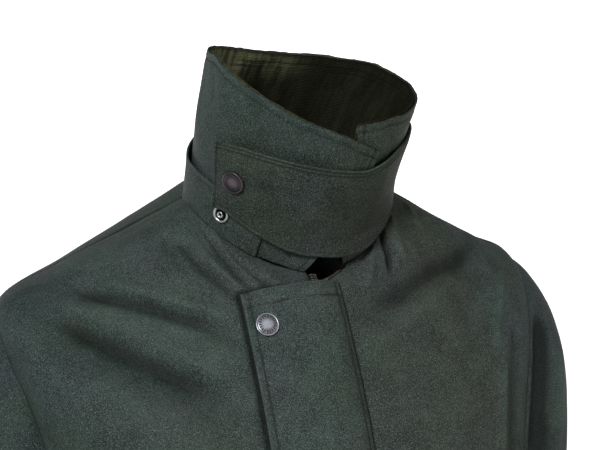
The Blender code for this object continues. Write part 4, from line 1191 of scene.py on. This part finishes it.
# ---------------------------------------------------------------- what repeats
def repeat_tree():
    """Sets a shape on every point, its Z along the attribute out and its X along the attribute along."""
    tree = bpy.data.node_groups.new("repeat", "GeometryNodeTree")

    def socket(name, kind, way="INPUT"):
        return tree.interface.new_socket(name, in_out=way, socket_type="NodeSocket" + kind).identifier

    def node(kind, inputs, **settings):
        return add_node(tree, kind, settings, inputs)

    socket("Geometry", "Geometry")
    inputs = {name: socket(name, kind) for name, kind in
              (("Shape", "Object"), ("Uneven", "Float"), ("Seed", "Int"), ("Material", "Material"))}
    socket("Geometry", "Geometry", "OUTPUT")
    given = node("NodeGroupInput", {}).outputs
    out, along = (node("GeometryNodeInputNamedAttribute", {"Name": name}, data_type="FLOAT_VECTOR")
                  .outputs["Attribute"] for name in ("out", "along"))
    faced = node("FunctionNodeAlignRotationToVector", {"Vector": out}, axis="Z")
    turned = node("FunctionNodeAlignRotationToVector",
                  {"Rotation": faced.outputs["Rotation"], "Vector": along}, axis="X", pivot_axis="Z")
    low, high = (node("ShaderNodeMath", {0: 1.0, 1: given["Uneven"]}, operation=operation).outputs[0]
                 for operation in ("SUBTRACT", "ADD"))
    size = node("FunctionNodeRandomValue", {"Min": low, "Max": high, "Seed": given["Seed"]},
                data_type="FLOAT")
    shape = node("GeometryNodeObjectInfo", {"Object": given["Shape"]})
    placed = node("GeometryNodeInstanceOnPoints",
                  {"Points": given["Geometry"], "Instance": shape.outputs["Geometry"],
                   "Rotation": turned.outputs["Rotation"]})
    for random in size.outputs:
        if random.enabled:
            tree.links.new(random, placed.inputs["Scale"])
    real = node("GeometryNodeRealizeInstances", {"Geometry": placed.outputs["Instances"]})
    painted = node("GeometryNodeSetMaterial",
                   {"Geometry": real.outputs["Geometry"], "Material": given["Material"]})
    node("NodeGroupOutput", {"Geometry": painted.outputs["Geometry"]})
    return tree, inputs


def repeated(name, tree, places, shape, uneven, seed, material):
    """One piece of many small shapes; places holds (point, out, along) rows."""
    group, sockets = tree
    places = np.array(places, float)
    mesh = bpy.data.meshes.new(name + "_places")
    mesh.from_pydata(places[:, 0], [], [])
    for i, key in ((1, "out"), (2, "along")):
        vectors = mesh.attributes.new(key, "FLOAT_VECTOR", "POINT")
        vectors.data.foreach_set("vector", places[:, i].reshape(-1))
    source = linked(name + "_places", mesh)
    grown = source.modifiers.new("repeat", "NODES")
    grown.node_group = group
    for key, value in (("Shape", shape), ("Uneven", uneven), ("Seed", seed), ("Material", material)):
        grown[sockets[key]] = value
    result = bpy.data.meshes.new_from_object(
        source.evaluated_get(bpy.context.evaluated_depsgraph_get()))
    result.materials.clear()
    piece = linked(name, result, material)
    result.shade_smooth()
    bpy.data.objects.remove(source)
    bpy.data.objects.remove(shape)
    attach(piece, BODY)
    return piece


def shape_from(name, mesh):
    data = bpy.data.meshes.new(name)
    mesh.to_mesh(data)
    mesh.free()
    return linked(name, data)


def bead(name, long, wide, high, bend=0.0):
    """A long rounded bead along X whose ends dip by bend."""
    mesh = bmesh.new()
    bmesh.ops.create_uvsphere(mesh, u_segments=10, v_segments=6, radius=0.5)
    for vertex in mesh.verts:
        x, y, z = vertex.co
        vertex.co = (x * long, y * wide, z * high - bend * (2.0 * x) ** 2)
    return shape_from(name, mesh)


def tooth_shape():
    """A metal tooth: a block that grips the tape along X, with a nub on its free end."""
    mesh = bmesh.new()
    for middle, size in (((-0.0006, 0.0, 0.0), (0.0040, 0.0013, 0.0026)),
                         ((0.0019, 0.0, 0.0), (0.0012, 0.0017, 0.0019))):
        made = bmesh.ops.create_cube(mesh, size=1.0)["verts"]
        for vertex in made:
            vertex.co = [m + c * s for m, c, s in zip(middle, vertex.co, size)]
    bmesh.ops.bevel(mesh, geom=mesh.edges[:], offset=0.00022, segments=1, affect="EDGES")
    return shape_from("tooth", mesh)


def stitch_places():
    """Evenly spaced places along the noted lines of stitches."""
    places = []
    for line, outs in STITCH_LINES:
        run = run_length(line)
        count = int(run[-1] / STITCH_PITCH)
        for i in range(count):
            at = (i + 0.5) * run[-1] / max(count, 1)
            before, point, after = (read_at(at + step, run, line)
                                    for step in (-STITCH_PITCH / 2, 0.0, STITCH_PITCH / 2))
            places.append((point, read_at(at, run, outs), unit(after - before)))
    return places


# ---------------------------------------------------------------- press studs and zip

def seat(point, normal):
    """A place on the cloth as point, across, up, out."""
    out = unit(normal)
    up = unit(np.array((0.0, 0.0, 1.0)) - out * out[2])
    return point, np.cross(up, out), up, out


def lathe(name, profile, place, material):
    """A turned solid on its seat."""
    point, across, up, out = place
    mesh = bmesh.new()
    rings = []
    for radius, height in (metres(row[:2]) for row in profile):
        count = LATHE_STEPS if radius > 0.0 else 1
        turn = [2.0 * math.pi * i / LATHE_STEPS for i in range(count)]
        rings.append([mesh.verts.new(point + across * radius * math.cos(a) + up * radius * math.sin(a)
                                     + out * height) for a in turn])
    for upper, lower in zip(rings, rings[1:]):
        for i in range(LATHE_STEPS):
            k = (i + 1) % LATHE_STEPS
            corners = [lower[i % len(lower)], lower[k % len(lower)], upper[k % len(upper)],
                       upper[i % len(upper)]]
            mesh.faces.new(list(dict.fromkeys(corners)))
    data = bpy.data.meshes.new(name)
    bmesh.ops.recalc_face_normals(mesh, faces=mesh.faces[:])
    mesh.to_mesh(data)
    mesh.free()
    data.shade_smooth()
    # the profile's third column colours the metal: painted shade and highlight
    shades = [painted_shade_and_highlight for ring, (_, _, painted_shade_and_highlight) in zip(rings, profile) for vertex in ring]
    data.attributes.new("rub", "FLOAT", "POINT").data.foreach_set("value", shades)
    return dressed(name, data, material)


def stud_seats():
    """Every stud's seat by its node name."""
    seats = {}
    for number, ring in enumerate(FLAP_STUD_RINGS, 1):
        turn = turn_at(zip_x(ring) + FLAP_STUD_X, ring)
        gap = float(np.interp(-FLAP_STUD_X, [-x for x in FLAP_STATIONS], FLAP_OUT))
        out = float(flap_gap(gap, ring)) + CLOTH + STUD_LIFT
        seats["flap_stud_%d" % number] = seat(body(turn, ring, out), body_normal(turn, ring))
    turn, rise, out = STRAP_STUD
    seats["strap_stud"] = seat(neck(turn, rise, out + STUD_LIFT), neck_normal(turn, rise))
    turn, rise = BAND_STUD
    share = rise / float(table_curve(BAND_EDGE, 1, turn % 360.0))
    out = BAND_FOOT + float(table_curve(BAND_EDGE, 2, turn % 360.0)) * share + STUD_LIFT
    seats["band_stud"] = seat(neck(turn, rise, out), neck_normal(turn, rise))
    return seats


def neck_normal(turn, rise):
    along = neck(turn + 0.5, rise) - neck(turn - 0.5, rise)
    up = neck(turn, rise + 0.001) - neck(turn, rise - 0.001)
    return unit(np.cross(along, up))


def tick_places(seats):
    """A ring of plain ticks on every cap."""
    places = []
    for name, (point, across, up, out) in seats.items():
        if name == "band_stud":
            continue
        for i in range(TICKS):
            a = 2.0 * math.pi * i / TICKS
            way = across * math.cos(a) + up * math.sin(a)
            places.append((point + way * TICK_RADIUS + out * TICK_HEIGHT, out, way))
    return places


def tooth_places(side):
    """Teeth along a tape's inner edge; the two sides' teeth take turns."""
    rings = np.linspace(0.10, HEM_RING - 0.05, SAMPLES)
    line, inside = (body(tape_turn(rings, column, side), rings, -CLOTH - GAP - TAPE / 2.0)
                    for column in (0.0, 0.4))
    outs = body_normal(tape_turn(rings, 0.0, side), rings)
    run = run_length(line)
    places = []
    at = TOOTH_PITCH * (0.25 if side < 0 else 0.75)
    while at < run[-1]:
        point, inner, out = (read_at(at, run, rows) for rows in (line, inside, outs))
        places.append((point, unit(out), unit(point - inner)))
        at += TOOTH_PITCH
    return places


# ---------------------------------------------------------------- camera, light and floor
FLOOR_GAP = 0.002
FLOOR_REACH = 6.0
FLOOR_DEPTH = 3.4                  # where the floor starts to curve up behind the jacket
SWEEP_RADIUS = 0.8
SWEEP_TOP = 0.55


# The main view. Its focal length, width, middle and where the origin shows in it are in pixels.
VIEW_TURN = -22.0
VIEW_RISE = 13.0
VIEW_DISTANCE = 0.80
VIEW_FOCAL = 1014.0
VIEW_WIDTH = 600.0
VIEW_MIDDLE = (300.0, 225.0)
VIEW_ORIGIN = (290.0, 194.0)


def camera():
    """The main view, from the wearer's right and a little above."""
    azimuth, elevation = math.radians(VIEW_TURN), math.radians(VIEW_RISE)
    back = Vector((math.sin(azimuth) * math.cos(elevation), -math.cos(azimuth) * math.cos(elevation),
                   math.sin(elevation)))
    right = Vector((math.cos(azimuth), math.sin(azimuth), 0.0))
    up = back.cross(right)
    aside, below = ((at - middle) / VIEW_FOCAL * VIEW_DISTANCE
                    for at, middle in zip(VIEW_ORIGIN, VIEW_MIDDLE))
    data = bpy.data.cameras.new("camera")
    data.lens = VIEW_FOCAL / VIEW_WIDTH * data.sensor_width
    made = linked("camera", data)
    place = Matrix.Translation(back * VIEW_DISTANCE - right * aside + up * below)
    made.matrix_world = place @ Matrix((right, up, back)).transposed().to_4x4()
    bpy.context.scene.camera = made


def area_light(name, place, target, size, power, color):
    data = bpy.data.lights.new(name, "AREA")
    data.shape = "DISK"
    data.size, data.energy, data.color = size, power, color
    lamp = linked(name, data)
    lamp.location = place
    lamp.rotation_euler = (Vector(target) - Vector(place)).to_track_quat("-Z", "Y").to_euler()


def sheet_of(name, profile, left, right, material):
    """A stage surface that runs along a profile of (y, z) places between two x."""
    points = [(x, y, z) for y, z in profile for x in (left, right)]
    mesh = bpy.data.meshes.new(name)
    mesh.from_pydata(points, [], [(i, i + 1, i + 3, i + 2) for i in range(0, len(points) - 2, 2)])
    mesh.shade_smooth()
    linked(name, mesh, material)


def studio():
    """A pale floor, a white lit sweep behind the jacket, a dim sky and two soft lamps."""
    world = bpy.data.worlds.new("studio")
    world.use_nodes = True
    sky = world.node_tree.nodes["Background"].inputs
    sky["Color"].default_value = (1.0, 1.0, 1.0, 1.0)
    sky["Strength"].default_value = 0.20
    bpy.context.scene.world = world
    bpy.context.scene.view_settings.view_transform = "Standard"
    low = float(CAD_BOUNDS[0][2]) - FLOOR_GAP
    paper = Finish("paper", roughness=0.95, specular_ior_level=0.0, emission_strength=1.0)
    paper.socket("base_color").default_value = (0.80, 0.80, 0.80, 1.0)
    back = paper.node("ShaderNodeSeparateXYZ", {}, {"Vector": paper.object_place()}, "Y")
    paper.feed(emission_color=paper.blend(back.between(0.35, 0.95), rgb(0, 0, 0), rgb(255, 255, 255)))
    sweep = [(FLOOR_DEPTH + SWEEP_RADIUS * math.sin(a), low + SWEEP_RADIUS * (1.0 - math.cos(a)))
             for a in np.linspace(0.1, math.pi / 2.0, 12)]
    profile = [(-FLOOR_REACH, low), (FLOOR_DEPTH, low)] + sweep + [(FLOOR_DEPTH + SWEEP_RADIUS, SWEEP_TOP)]
    sheet_of("floor", profile, -FLOOR_REACH, FLOOR_REACH, paper.material)
    area_light("key", (-1.50, -1.60, 1.45), (0.0, 0.0, -0.15), 0.8, 50.0, (0.94, 1.0, 0.975))
    area_light("fill", (1.7, -1.7, 0.3), (0.0, 0.0, -0.2), 1.2, 13.0, (1.0, 0.945, 0.89))


def declare(made):
    """Works out each cloth piece's true area from its grid, and keeps nothing of it."""
    for piece, grid, rests_on in made:
        corner = np.diff(grid.points, axis=0)[:, :-1], np.diff(grid.points, axis=1)[:-1]
        area = float(np.linalg.norm(np.cross(*corner), axis=-1).sum())
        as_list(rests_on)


def main():
    deep, pale, warm = rgb(20, 27, 26), rgb(97, 112, 108), rgb(100, 101, 91)
    body_cloth = waxed_cotton("waxed_cotton_body", deep, pale, warm)
    sleeve_cloth = waxed_cotton("waxed_cotton_sleeves", deep, rgb(95, 108, 109), rgb(93, 99, 96))
    collar_cloth = waxed_cotton("waxed_cotton_collar", deep, rgb(86, 102, 96), warm)
    strap_cloth = waxed_cotton("waxed_cotton_strap", rgb(17, 21, 19), rgb(86, 97, 89), rgb(82, 82, 71))
    cord = corduroy("corduroy_collar_lining")
    tape_cloth = woven_tape("zip_tape")
    nickel = stud_metal("nickel_stud", rgb(78, 76, 88), rgb(222, 223, 234), metallic=0.75)
    gunmetal = stud_metal("gunmetal_stud", rgb(54, 46, 50), rgb(128, 115, 121), metallic=0.92)
    steel = stud_metal("steel_ring_stud", rgb(16, 18, 18), rgb(226, 226, 228), (0.30, 0.42))
    marks = stud_metal("stud_marks", rgb(30, 28, 36), rgb(56, 54, 62), (0.5, 0.6), 0.2)
    brass = stud_metal("zip_metal", rgb(96, 92, 84), rgb(156, 152, 142), (0.28, 0.5))

    panels = (make_front("front_right", -1, RIGHT_STATIONS, body_cloth),
              make_front("front_left", 1, LEFT_STATIONS, body_cloth), make_back(body_cloth))
    made = [(piece, grid, ["collar"]) for piece, grid in panels]
    for name, side, front in (("sleeve_right", -1, "front_right"), ("sleeve_left", 1, "front_left")):
        made += [(piece, grid, [front, "back"]) for piece, grid in make_sleeve(name, side, sleeve_cloth)]
    for (piece, grid), rests_on in ((make_collar(collar_cloth), "back"), (make_lining(cord), "collar"),
                                    (make_band(collar_cloth), "front_right"),
                                    (make_strap(strap_cloth), "collar"),
                                    (make_flap(body_cloth), "front_left"),
                                    (make_tape("zip_tape_right", -1, tape_cloth), "front_right"),
                                    (make_tape("zip_tape_left", 1, tape_cloth), "front_left")):
        made.append((piece, grid, [rests_on]))
    declare(made)

    seats = stud_seats()
    for name, place in seats.items():
        if name == "band_stud":
            lathe(name, RING_PROFILE, place, steel)
        else:
            lathe(name, CAP_PROFILE, place, gunmetal if name == "strap_stud" else nickel)
    tree = repeat_tree()
    stitch = bead("stitch", 0.0027, 0.00050, 0.00042, 0.0001)
    tick = bead("tick", 0.0021, 0.00090, 0.00040)
    repeated("stitching", tree, stitch_places(), stitch, 0.10, 4, thread("thread"))
    repeated("stud_ticks", tree, tick_places(seats), tick, 0.05, 7, marks)
    repeated("zip_teeth", tree, tooth_places(-1) + tooth_places(1), tooth_shape(), 0.02, 9, brass)
    for name in ("zip_slider", "zip_pull"):
        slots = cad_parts[name].data.materials
        slots.clear()
        slots.append(brass)
    camera()
    studio()


main()
